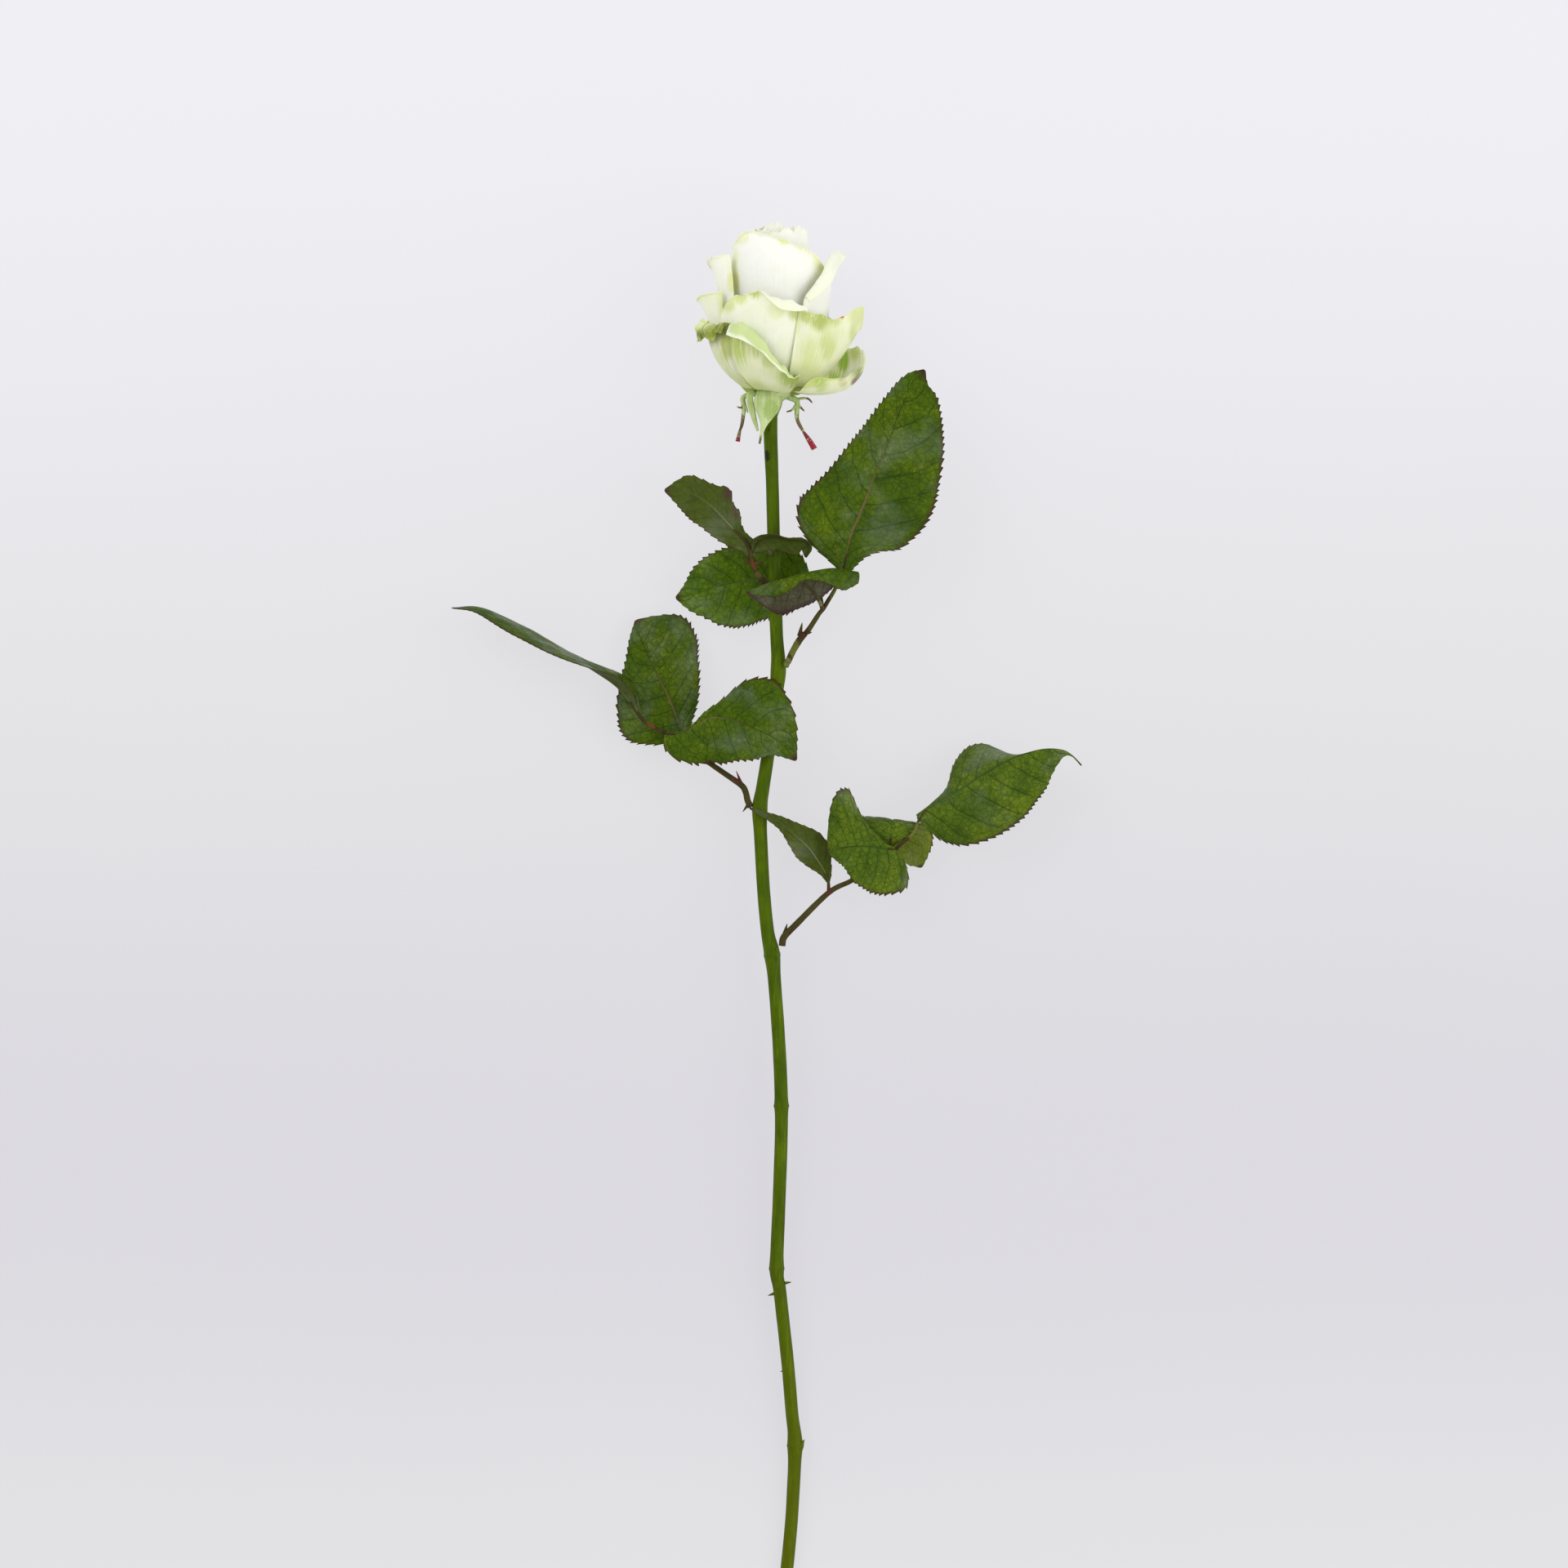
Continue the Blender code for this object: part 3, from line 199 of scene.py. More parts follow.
class Bench:
    """The modelling steps that the pieces share, done with Blender's own tools.

    THINNEST is a rod's least radius in millimetres, and MERGE the metres within which its points are one.
    """

    THINNEST = 0.02
    MERGE = 1e-6

    @staticmethod
    def clear_selection() -> None:
        """Leaves object mode with nothing selected."""
        if bpy.context.object and bpy.context.object.mode != "OBJECT":
            bpy.ops.object.mode_set(mode="OBJECT")
        bpy.ops.object.select_all(action="DESELECT")

    @staticmethod
    def pick(piece: Piece) -> None:
        """Selects one piece alone.

        Args:
            piece: the piece.
        """
        Bench.clear_selection()
        piece.select_set(True)
        bpy.context.view_layer.objects.active = piece

    @staticmethod
    def sheet(name: str, across: int, along: int) -> Piece:
        """A flat grid, ready to be laid on a surface.

        Args:
            name: the piece's name.
            across: faces from side to side.
            along: faces from base to tip.

        Returns:
            The piece, with a UV map that runs from side to side and from base to tip.
        """
        Bench.clear_selection()
        bpy.ops.mesh.primitive_grid_add(x_subdivisions=across, y_subdivisions=along, size=2.0)
        piece = bpy.context.object
        piece.name = piece.data.name = name
        return piece

    @staticmethod
    def lay(piece: Piece, grid: Sequence[Sequence[Vector]]) -> None:
        """Lays a flat grid's points on a surface.

        Args:
            piece: the flat grid.
            grid: its rows of points from base to tip, in millimetres.
        """
        flat = [c * MM for row in grid for point in row for c in point]
        piece.data.vertices.foreach_set("co", flat)
        piece.data.update()

    @staticmethod
    def wall(piece: Piece, thickness: float, rim: float, rounding: int = 0) -> None:
        """Gives a sheet its two faces and an edge.

        Args:
            piece: the sheet.
            thickness: its thickness, in millimetres.
            rim: the share of it that the outermost points keep.
            rounding: subdivision levels that round the edge.
        """
        Bench.pick(piece)
        for _ in range(2 - len(piece.data.materials)):
            piece.data.materials.append(None)
        group = piece.vertex_groups.new(name="wall")
        uses = Counter(key for polygon in piece.data.polygons for key in polygon.edge_keys)
        edge = {vertex for key, count in uses.items() if count == 1 for vertex in key}
        group.add([vertex.index for vertex in piece.data.vertices], 1.0, "REPLACE")
        group.add(list(edge), rim, "REPLACE")
        bpy.ops.object.modifier_add(type="SOLIDIFY")
        solid = piece.modifiers[-1]
        solid.thickness = thickness * MM
        solid.offset = 0.0
        solid.vertex_group = group.name
        solid.use_rim = True
        solid.material_offset = 1
        bpy.ops.object.modifier_apply(modifier=solid.name)
        if rounding:
            bpy.ops.object.modifier_add(type="SUBSURF")
            smooth = piece.modifiers[-1]
            smooth.levels = smooth.render_levels = rounding
            bpy.ops.object.modifier_apply(modifier=smooth.name)
        piece.vertex_groups.clear()
        bpy.ops.object.shade_smooth()

    @staticmethod
    def rod(name: str, route: Sequence[Vector], radii: Sequence[float], sides: int = 3) -> Piece:
        """A round rod of changing thickness.

        Args:
            name: the piece's name.
            route: its centre line, in millimetres.
            radii: its radius at each point, in millimetres.
            sides: how finely it is rounded.

        Returns:
            The rod as a closed mesh.
        """
        Bench.clear_selection()
        bpy.ops.curve.primitive_nurbs_path_add()
        piece = bpy.context.object
        piece.name = name
        shape = piece.data
        shape.splines.clear()
        line = shape.splines.new("POLY")
        line.points.add(len(route) - 1)
        for place, point, radius in zip(line.points, route, radii):
            place.co = (*(point * MM), 1.0)
            place.radius = max(radius, Bench.THINNEST)
        shape.dimensions = "3D"
        shape.twist_mode = "MINIMUM"
        shape.bevel_depth = MM
        shape.bevel_resolution = sides
        shape.use_fill_caps = True
        bpy.ops.object.convert(target="MESH")
        piece = bpy.context.object
        piece.data.name = name
        bpy.ops.object.mode_set(mode="EDIT")
        bpy.ops.mesh.select_all(action="SELECT")
        bpy.ops.mesh.remove_doubles(threshold=Bench.MERGE)
        bpy.ops.mesh.normals_make_consistent(inside=False)
        bpy.ops.object.mode_set(mode="OBJECT")
        bpy.ops.object.shade_smooth()
        return piece

    @staticmethod
    def joined(name: str, parts: Sequence[Piece]) -> Piece:
        """One piece from several that grew as one.

        Args:
            name: the piece's name.
            parts: what is joined, the main one first.

        Returns:
            The joined piece.
        """
        Bench.pick(parts[0])
        for part in parts[1:]:
            part.select_set(True)
        if len(parts) > 1:
            bpy.ops.object.join()
        piece = bpy.context.object
        piece.name = piece.data.name = name
        return piece

    @staticmethod
    def seat(piece: Piece, node: str, slot: Slot, finishes: Iterable[bpy.types.Material]) -> None:
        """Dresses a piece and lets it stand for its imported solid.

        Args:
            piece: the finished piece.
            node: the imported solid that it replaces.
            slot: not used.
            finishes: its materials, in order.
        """
        for number, finish in enumerate(finishes):
            if number < len(piece.data.materials):
                piece.data.materials[number] = finish
            else:
                piece.data.materials.append(finish)
        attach(piece, BODY)
        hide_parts(node)
        LOG.info("%s: %d faces", piece.name, len(piece.data.polygons))


class Board:
    """A material's nodes, with short calls for the ones that the finishes share.

    FRAY is how far the grain moves the edge of a mark.
    """

    FRAY = 2.6

    def __init__(self, name: str) -> None:
        """Starts a material with one shader.

        Args:
            name: the material's name.
        """
        self.material = bpy.data.materials.new(name)
        self.material.use_nodes = True
        self.tree = self.material.node_tree
        self.shader = self.tree.nodes["Principled BSDF"]

    def node(self, kind: str, **settings: object) -> bpy.types.Node:
        """Adds a node.

        Args:
            kind: Blender's name of the node.
            **settings: its own settings.

        Returns:
            The node.
        """
        made = self.tree.nodes.new(kind)
        for key, value in settings.items():
            setattr(made, key, value)
        return made

    def feed(self, socket: Socket, value: object) -> None:
        """Links or sets an input.

        Args:
            socket: the input.
            value: an output, a number or a colour.
        """
        if isinstance(value, Socket):
            self.tree.links.new(value, socket)
        elif isinstance(value, tuple) and len(value) == 3 and socket.type == "RGBA":
            socket.default_value = (*value, 1.0)
        else:
            socket.default_value = value

    def calc(self, operation: str, a: object, b: object = 0.0, c: object = 0.0,
             clamp: bool = False) -> Socket:
        """One sum of up to three numbers.

        Args:
            operation: Blender's name of the sum.
            a: the first number.
            b: the second one.
            c: the third one.
            clamp: keeps the answer from 0 to 1.

        Returns:
            The answer.
        """
        made = self.node("ShaderNodeMath", operation=operation, use_clamp=clamp)
        for socket, value in zip(made.inputs, (a, b, c)):
            self.feed(socket, value)
        return made.outputs[0]

    def fade(self, value: object, low: float, high: float, first: float = 0.0,
             last: float = 1.0) -> Socket:
        """A smooth step from one level to another.

        Args:
            value: what is read.
            low: where the step starts.
            high: where it ends.
            first: the level before it.
            last: the level after it.

        Returns:
            The level.
        """
        made = self.node("ShaderNodeMapRange", interpolation_type="SMOOTHSTEP")
        for name, entry in (("Value", value), ("From Min", low), ("From Max", high), ("To Min", first),
                            ("To Max", last)):
            self.feed(made.inputs[name], entry)
        return made.outputs[0]

    def times(self, a: object, b: object) -> Socket:
        """One number times another."""
        return self.calc("MULTIPLY", a, b)

    def mix(self, share: object, a: object, b: object) -> Socket:
        """Mixes two colours.

        Args:
            share: how much of the second one.
            a: the first colour.
            b: the second one.

        Returns:
            The mixed colour.
        """
        made = self.node("ShaderNodeMix", data_type="RGBA")
        self.feed(made.inputs[0], share)
        self.feed(made.inputs[6], a)
        self.feed(made.inputs[7], b)
        return made.outputs[2]

    def tint(self, tone: object, colour: Colour, where: object, most: float) -> Socket:
        """Lays a colour over a tone.

        Args:
            tone: the tone under it.
            colour: the colour.
            where: how much of it each place takes, from 0 to 1.
            most: its share where a place takes all of it.

        Returns:
            The tone with the colour on it.
        """
        return self.mix(self.times(where, most), tone, colour)

    def wavering(self, value: object, noise_level: object, swing: float) -> Socket:
        """Lets a value waver with a noise.

        Args:
            value: the value.
            noise_level: the noise, from 0 to 1.
            swing: how far it moves the value, from its least to its most.

        Returns:
            The value with the noise.
        """
        return self.calc("MULTIPLY_ADD", self.calc("SUBTRACT", noise_level, 0.5), swing, value)

    def split(self, vector: Socket) -> Sequence[Socket]:
        """The X, Y and Z of a vector.

        Args:
            vector: the vector.

        Returns:
            Its three parts.
        """
        made = self.node("ShaderNodeSeparateXYZ")
        self.feed(made.inputs[0], vector)
        return made.outputs

    def place(self, scale: Point = (1.0, 1.0, 1.0)) -> Socket:
        """Object coordinates in metres, stretched by scale.

        Args:
            scale: how much X, Y and Z are stretched.

        Returns:
            The coordinates.
        """
        where = self.node("ShaderNodeTexCoord").outputs["Object"]
        made = self.node("ShaderNodeMapping")
        self.feed(made.inputs["Vector"], where)
        made.inputs["Scale"].default_value = scale
        return made.outputs[0]

    def blade_place(self) -> tuple[Socket, Socket]:
        """The piece's own UV map: across from 0 to 1, and along from base to tip."""
        parts = self.split(self.node("ShaderNodeTexCoord").outputs["UV"])
        return parts[0], parts[1]

    def clouds(self, vector: Socket, scale: float, detail: float = 3.0,
               rough: float = 0.55) -> Socket:
        """Cloudy noise from 0 to 1.

        Args:
            vector: the coordinates that it reads.
            scale: its scale.
            detail: how many finer layers it has.
            rough: how strong they are.

        Returns:
            The noise.
        """
        made = self.node("ShaderNodeTexNoise")
        self.feed(made.inputs["Vector"], vector)
        made.inputs["Scale"].default_value = scale
        made.inputs["Detail"].default_value = detail
        made.inputs["Roughness"].default_value = rough
        return made.outputs[0]

    def cells(self, vector: Socket, scale: float) -> Socket:
        """How far each place is from the edge of its cell.

        Args:
            vector: the coordinates that it reads.
            scale: how many cells there are to a metre.

        Returns:
            The distance.
        """
        made = self.node("ShaderNodeTexVoronoi", feature="DISTANCE_TO_EDGE")
        self.feed(made.inputs["Vector"], vector)
        made.inputs["Scale"].default_value = scale
        return made.outputs[0]

    def marked(self, tone: Socket, spots: Sequence["Spot"], grain: Socket,
               depth: float = 1.0, low: float = 0.25, high: float = 0.6) -> Socket:
        """Adds coloured marks with ragged edges.

        Args:
            tone: the colour under them.
            spots: the marks.
            grain: the noise that frays them.
            depth: how much a distance along Z counts.
            low: the nearness at which a mark starts.
            high: the nearness at which it is whole.

        Returns:
            The colour with the marks.
        """
        loose = self.wavering(1.0, grain, self.FRAY)
        for spot in spots:
            scale = (1.0, 1.0 / spot.stretch, depth)
            away = self.node("ShaderNodeVectorMath", operation="SUBTRACT")
            self.feed(away.inputs[0], self.place(scale))
            away.inputs[1].default_value = [c * MM * share for c, share in zip(spot.centre, scale)]
            size = self.node("ShaderNodeVectorMath", operation="LENGTH")
            self.feed(size.inputs[0], away.outputs[0])
            near = self.fade(size.outputs["Value"], 0.0, spot.radius * MM, 1.0, 0.0)
            tone = self.tint(tone, spot.colour, self.fade(self.times(near, loose), low, high), spot.strength)
        return tone

    def bump(self, heights: Sequence[tuple[Socket, float]]) -> None:
        """Adds relief to the shader.

        Args:
            heights: (height from 0 to 1, its depth in millimetres), coarsest first.
        """
        normal: Optional[Socket] = None
        for height, depth in heights:
            made = self.node("ShaderNodeBump")
            made.inputs["Strength"].default_value = 1.0
            made.inputs["Distance"].default_value = depth * MM
            self.feed(made.inputs["Height"], height)
            if normal is not None:
                self.feed(made.inputs["Normal"], normal)
            normal = made.outputs[0]
        self.feed(self.shader.inputs["Normal"], normal)

    def gloss(self, roughness: float, specular: float = 0.5, sheen: float = 0.0) -> None:
        """Sets how the surface shines.

        Args:
            roughness: how dull it is.
            specular: how much it shines.
            sheen: how velvety it is.
        """
        self.shader.inputs["Roughness"].default_value = roughness
        self.shader.inputs["Specular IOR Level"].default_value = specular
        self.shader.inputs["Sheen Weight"].default_value = sheen

    def glow_through(self, weight: float, radius: Point, scale: float) -> None:
        """Lets light sink in.

        Args:
            weight: how much of it does.
            radius: how far red, green and blue go, against each other.
            scale: how far they go, in millimetres.
        """
        self.shader.inputs["Subsurface Weight"].default_value = weight
        self.shader.inputs["Subsurface Radius"].default_value = radius
        self.shader.inputs["Subsurface Scale"].default_value = scale * MM


@dataclass(frozen=True)
class Spot:
    """A coloured mark at a place of the rose, in millimetres. Stretch is how much longer it is along Y."""

    centre: Point
    radius: float
    stretch: float
    colour: Colour
    strength: float = 0.9


@dataclass(frozen=True)
class PetalFinish:
    """A petal's skin: cream, greener at its claw and rim, with fine streaks along it.

    Scales are Blender's noise scales, in swells a metre, and depths are millimetres.
    """

    name: str
    face: Colour
    claw: Colour
    rim: Colour
    rim_from: float = 0.84
    rim_share: float = 0.5
    streaks: float = 0.25
    claw_to: float = 0.55
    blush: float = 0.25
    reach: float = 0.35
    spots: tuple[Spot, ...] = ()

    PATCH_SCALE = 90.0
    FINE_SCALE = 420.0
    BLUSH_SCALE = 48.0
    LINES_ACROSS = 60.0
    LINES_ALONG = 3.0
    CLAW_FROM = 0.05
    CLAW_WAVER = 0.3
    RIM_WAVER = 0.22
    SIDE_LEVELS = (0.25, 0.7)
    STREAK_LEVELS = (0.48, 0.72)
    BLUSH_LEVELS = (0.46, 0.68)
    FINE_LEVELS = (0.4, 0.8)
    CLAW_SHARE = 0.9
    FINE_SHARE = 0.06
    MARKS = (0.08, 0.0, 0.95)
    PATCH_DEPTH = 0.35
    LINE_DEPTH = 0.22
    FINE_DEPTH = 0.05
    ROUGHNESS = 0.55
    SPECULAR = 0.22
    SHEEN = 0.08
    THROUGH = (0.5, (1.0, 0.96, 0.5), 2.0)

    def build(self) -> bpy.types.Material:
        """Makes the material.

        Returns:
            The material.
        """
        board = Board(self.name)
        across, along = board.blade_place()
        patches = board.clouds(board.place(), self.PATCH_SCALE, 4.0)
        fine = board.clouds(board.place(), self.FINE_SCALE, 3.0)
        wide = board.clouds(board.place(), self.BLUSH_SCALE, 2.0)
        stretched = board.node("ShaderNodeCombineXYZ")
        board.feed(stretched.inputs[0], board.times(across, self.LINES_ACROSS))
        board.feed(stretched.inputs[1], board.times(along, self.LINES_ALONG))
        lines = board.clouds(stretched.outputs[0], 1.0, 3.0, 0.6)
        reached = board.wavering(along, patches, self.CLAW_WAVER)
        claw = board.fade(reached, self.CLAW_FROM, self.claw_to, 1.0, 0.0)
        side = board.times(board.calc("ABSOLUTE", board.calc("SUBTRACT", across, 0.5)), 2.0)
        outer = board.calc("MAXIMUM", along, board.times(side, board.fade(along, *self.SIDE_LEVELS)))
        rim = board.fade(board.wavering(outer, patches, self.RIM_WAVER), self.rim_from, 1.0)
        streak = board.times(board.fade(lines, *self.STREAK_LEVELS), board.calc("MAXIMUM", claw, self.reach))
        tone = board.tint(self.face, self.claw, claw, self.CLAW_SHARE)
        tone = board.tint(tone, self.rim, rim, self.rim_share)
        tone = board.tint(tone, self.claw, streak, self.streaks)
        tone = board.tint(tone, self.claw, board.fade(wide, *self.BLUSH_LEVELS), self.blush)
        tone = board.tint(tone, self.rim, board.fade(fine, *self.FINE_LEVELS), self.FINE_SHARE)
        grain = board.wavering(lines, patches, 1.0)
        board.feed(board.shader.inputs["Base Color"], board.marked(tone, self.spots, grain, *self.MARKS))
        board.gloss(self.ROUGHNESS, self.SPECULAR, self.SHEEN)
        board.glow_through(*self.THROUGH)
        board.bump(((patches, self.PATCH_DEPTH), (lines, self.LINE_DEPTH), (fine, self.FINE_DEPTH)))
        return board.material


@dataclass(frozen=True)
class LeafFinish:
    """A leaf's skin: veins that branch from the midrib, a net between them, a dark margin and patches of
    grey-green painted sheen.

    Scales are Blender's noise scales, in swells a metre, and depths are millimetres.
    """

    name: str
    dark: Colour
    light: Colour
    fleck: Colour
    vein: Colour
    midrib: Colour
    midrib_tip: Colour
    margin: Colour = (0.05, 0.018, 0.014)
    margin_from: float = 0.91
    vein_share: float = 0.55
    net_share: float = 0.45
    roughness: float = 0.36
    raised: bool = False
    spots: tuple[Spot, ...] = ()

    VEINS = 8.0
    LEAN = 0.2
    LEAN_CURVE = 1.25
    VEIN_WAVER = 0.05
    VEIN_WIDTH = 0.075
    NET_WIDTH = 0.12
    MESH_WIDTH = 0.16
    MIDRIB_WIDTHS = (0.034, 0.012)
    TONE_LEVELS = (0.3, 0.7)
    GLOW_LEVELS = (0.45, 0.75)
    FLECK_LEVELS = (0.5, 0.66)
    PAINTED_SHEEN_LEVELS = (0.42, 0.75)
    SHINE_LEVELS = (0.48, 0.7)
    PATCH_SCALE = 110.0
    FINE_SCALE = 520.0
    GLOW_SCALE = 75.0
    SHEEN_SCALE = 62.0
    NET_SCALE = 430.0
    MESH_SCALE = 1100.0
    GLOW_SHARE = 0.4
    FLECK_SHARE = 0.5
    BETWEEN_SHARE = 0.2
    MIDRIB_SHARE = 0.9
    MARGIN_SHARE = 0.85
    MARGIN_WAVER = 0.1
    PAINTED_SHEEN = (0.13, 0.165, 0.10)
    PAINTED_SHEEN_SHARE = 0.17
    MARKS = (0.3, 0.1, 0.8)
    SPECULAR = 0.1
    SHINE = (0.03, 0.4)
    VEIN_DEPTH = 0.09
    NET_DEPTH = 0.05
    MESH_DEPTH = 0.03
    FINE_DEPTH = 0.04

    def build(self) -> bpy.types.Material:
        """Makes the material.

        Returns:
            The material.
        """
        board = Board(self.name)
        across, along = board.blade_place()
        signed = board.times(board.calc("SUBTRACT", across, 0.5), 2.0)
        side = board.calc("ABSOLUTE", signed)
        patches = board.clouds(board.place(), self.PATCH_SCALE, 5.0, 0.62)
        fine = board.clouds(board.place(), self.FINE_SCALE, 4.0, 0.6)
        sheen = board.clouds(board.place(), self.SHEEN_SCALE, 3.0)
        glow = board.clouds(board.place((1.0, 1.0, 0.5)), self.GLOW_SCALE, 3.0)
        forward = board.times(board.calc("POWER", side, self.LEAN_CURVE), self.LEAN)
        shifted = board.wavering(board.calc("SUBTRACT", along, forward), patches, self.VEIN_WAVER)
        turned = board.times(board.calc("GREATER_THAN", signed, 0.0), 0.5)
        off = board.calc("PINGPONG", board.calc("MULTIPLY_ADD", shifted, self.VEINS, turned), 0.5)
        ribs = board.times(board.fade(off, 0.0, self.VEIN_WIDTH, 1.0, 0.0),
                           board.fade(side, 0.8, 1.0, 1.0, 0.0))
        net = board.fade(board.cells(board.place(), self.NET_SCALE), 0.0, self.NET_WIDTH, 1.0, 0.0)
        mesh = board.fade(board.cells(board.place(), self.MESH_SCALE), 0.0, self.MESH_WIDTH, 1.0, 0.0)
        width = board.fade(along, 0.0, 1.0, *self.MIDRIB_WIDTHS)
        middle = board.calc("SUBTRACT", 1.0, board.calc("DIVIDE", side, width), clamp=True)
        middle = board.fade(middle, 0.0, 0.6)
        tone = board.mix(board.fade(patches, *self.TONE_LEVELS), self.dark, self.light)
        tone = board.tint(tone, self.fleck, board.fade(glow, *self.GLOW_LEVELS), self.GLOW_SHARE)
        flecks = board.times(board.fade(fine, *self.FLECK_LEVELS), board.fade(glow, 0.38, 0.6, 0.35, 1.0))
        tone = board.tint(tone, self.fleck, flecks, self.FLECK_SHARE)
        tone = board.tint(tone, self.light, board.fade(off, 0.1, 0.5), self.BETWEEN_SHARE)
        # painted sheen: grey-green patches where the sheen noise is high stand in for soft reflections of the
        # room
        painted_sheen = board.times(board.fade(sheen, *self.PAINTED_SHEEN_LEVELS), board.fade(fine, 0.35, 0.6, 0.7, 1.0))
        tone = board.tint(tone, self.PAINTED_SHEEN, painted_sheen, self.PAINTED_SHEEN_SHARE)
        tone = board.tint(tone, self.vein, net, self.net_share)
        tone = board.tint(tone, self.vein, ribs, self.vein_share)
        stripe = board.mix(board.fade(along, 0.25, 0.75), self.midrib, self.midrib_tip)
        tone = board.mix(board.times(middle, self.MIDRIB_SHARE), tone, stripe)
        outer = board.calc("MAXIMUM", side, board.fade(along, 0.9, 1.0, 0.85, 1.0))
        edge = board.fade(board.wavering(outer, fine, self.MARGIN_WAVER), self.margin_from, 1.0)
        tone = board.tint(tone, self.margin, edge, self.MARGIN_SHARE)
        board.feed(board.shader.inputs["Base Color"], board.marked(tone, self.spots, fine, *self.MARKS))
        board.gloss(self.roughness, self.SPECULAR)
        shine = board.fade(sheen, *self.SHINE_LEVELS, *self.SHINE)
        board.feed(board.shader.inputs["Specular IOR Level"], shine)
        sign = 1.0 if self.raised else -1.0
        board.bump(((board.times(board.calc("MAXIMUM", ribs, middle), sign), self.VEIN_DEPTH),
                    (board.times(net, sign), self.NET_DEPTH), (board.times(mesh, sign), self.MESH_DEPTH),
                    (fine, self.FINE_DEPTH)))
        return board.material


@dataclass(frozen=True)
class StemFinish:
    """The skin of the stem and the stalks: streaked along Y, with marks at given places, and painted shade
    that darkens the sides facing sideways or down.

    Scales are Blender's noise scales, in swells a metre, and depths are millimetres.
    """

    name: str
    dark: Colour
    light: Colour
    streak: Colour
    streak_share: float = 0.5
    roughness: float = 0.38
    spots: tuple[Spot, ...] = ()
    low: Optional[Colour] = None
    painted_shade: Colour = (0.012, 0.035, 0.010)
    painted_shade_share: float = 0.6

    LINE_SCALE = 900.0
    PATCH_SCALE = 150.0
    FINE_SCALE = 1400.0
    PORE_SCALE = 700.0
    TONE_LEVELS = (0.3, 0.7)
    STREAK_LEVELS = (0.5, 0.72)
    FINE_LEVELS = (0.62, 0.72)
    PAINTED_SHADE_LEVELS = (-0.1, 0.62)
    LOW_LEVELS = (-0.25, -0.06)
    LOW_SHARE = 0.85
    FINE_SHARE = 0.25
    SPECULAR = 0.05
    THROUGH = (0.12, (1.0, 0.9, 0.05), 0.8)
    LINE_DEPTH = 0.12
    FINE_DEPTH = 0.03

    def build(self) -> bpy.types.Material:
        """Makes the material.

        Returns:
            The material.
        """
        board = Board(self.name)
        lines = board.clouds(board.place((1.0, 0.07, 1.0)), self.LINE_SCALE, 4.0, 0.6)
        patches = board.clouds(board.place((1.0, 0.4, 1.0)), self.PATCH_SCALE, 4.0, 0.6)
        fine = board.clouds(board.place(), self.FINE_SCALE, 3.0)
        pores = board.fade(board.cells(board.place((1.0, 0.45, 1.0)), self.PORE_SCALE), 0.0, 0.3, 1.0, 0.0)
        tone = board.mix(board.fade(patches, *self.TONE_LEVELS), self.dark, self.light)
        if self.low is not None:
            height = board.split(board.place())[1]
            tone = board.mix(board.fade(height, *self.LOW_LEVELS, self.LOW_SHARE, 0.0), tone, self.low)
        tone = board.tint(tone, self.streak, board.fade(lines, *self.STREAK_LEVELS), self.streak_share)
        tone = board.tint(tone, self.dark, board.fade(fine, *self.FINE_LEVELS), self.FINE_SHARE)
        # painted shade: where the normal turns sideways or down, the tone is mixed towards the painted shade
        # colour
        facing = board.split(board.node("ShaderNodeTexCoord").outputs["Normal"])[2]
        tone = board.mix(board.fade(facing, *self.PAINTED_SHADE_LEVELS, self.painted_shade_share, 0.0), tone, self.painted_shade)
        board.feed(board.shader.inputs["Base Color"], board.marked(tone, self.spots, fine))
        board.gloss(self.roughness, self.SPECULAR)
        board.glow_through(*self.THROUGH)
        board.bump(((lines, self.LINE_DEPTH), (pores, self.FINE_DEPTH), (fine, self.FINE_DEPTH)))
        return board.material


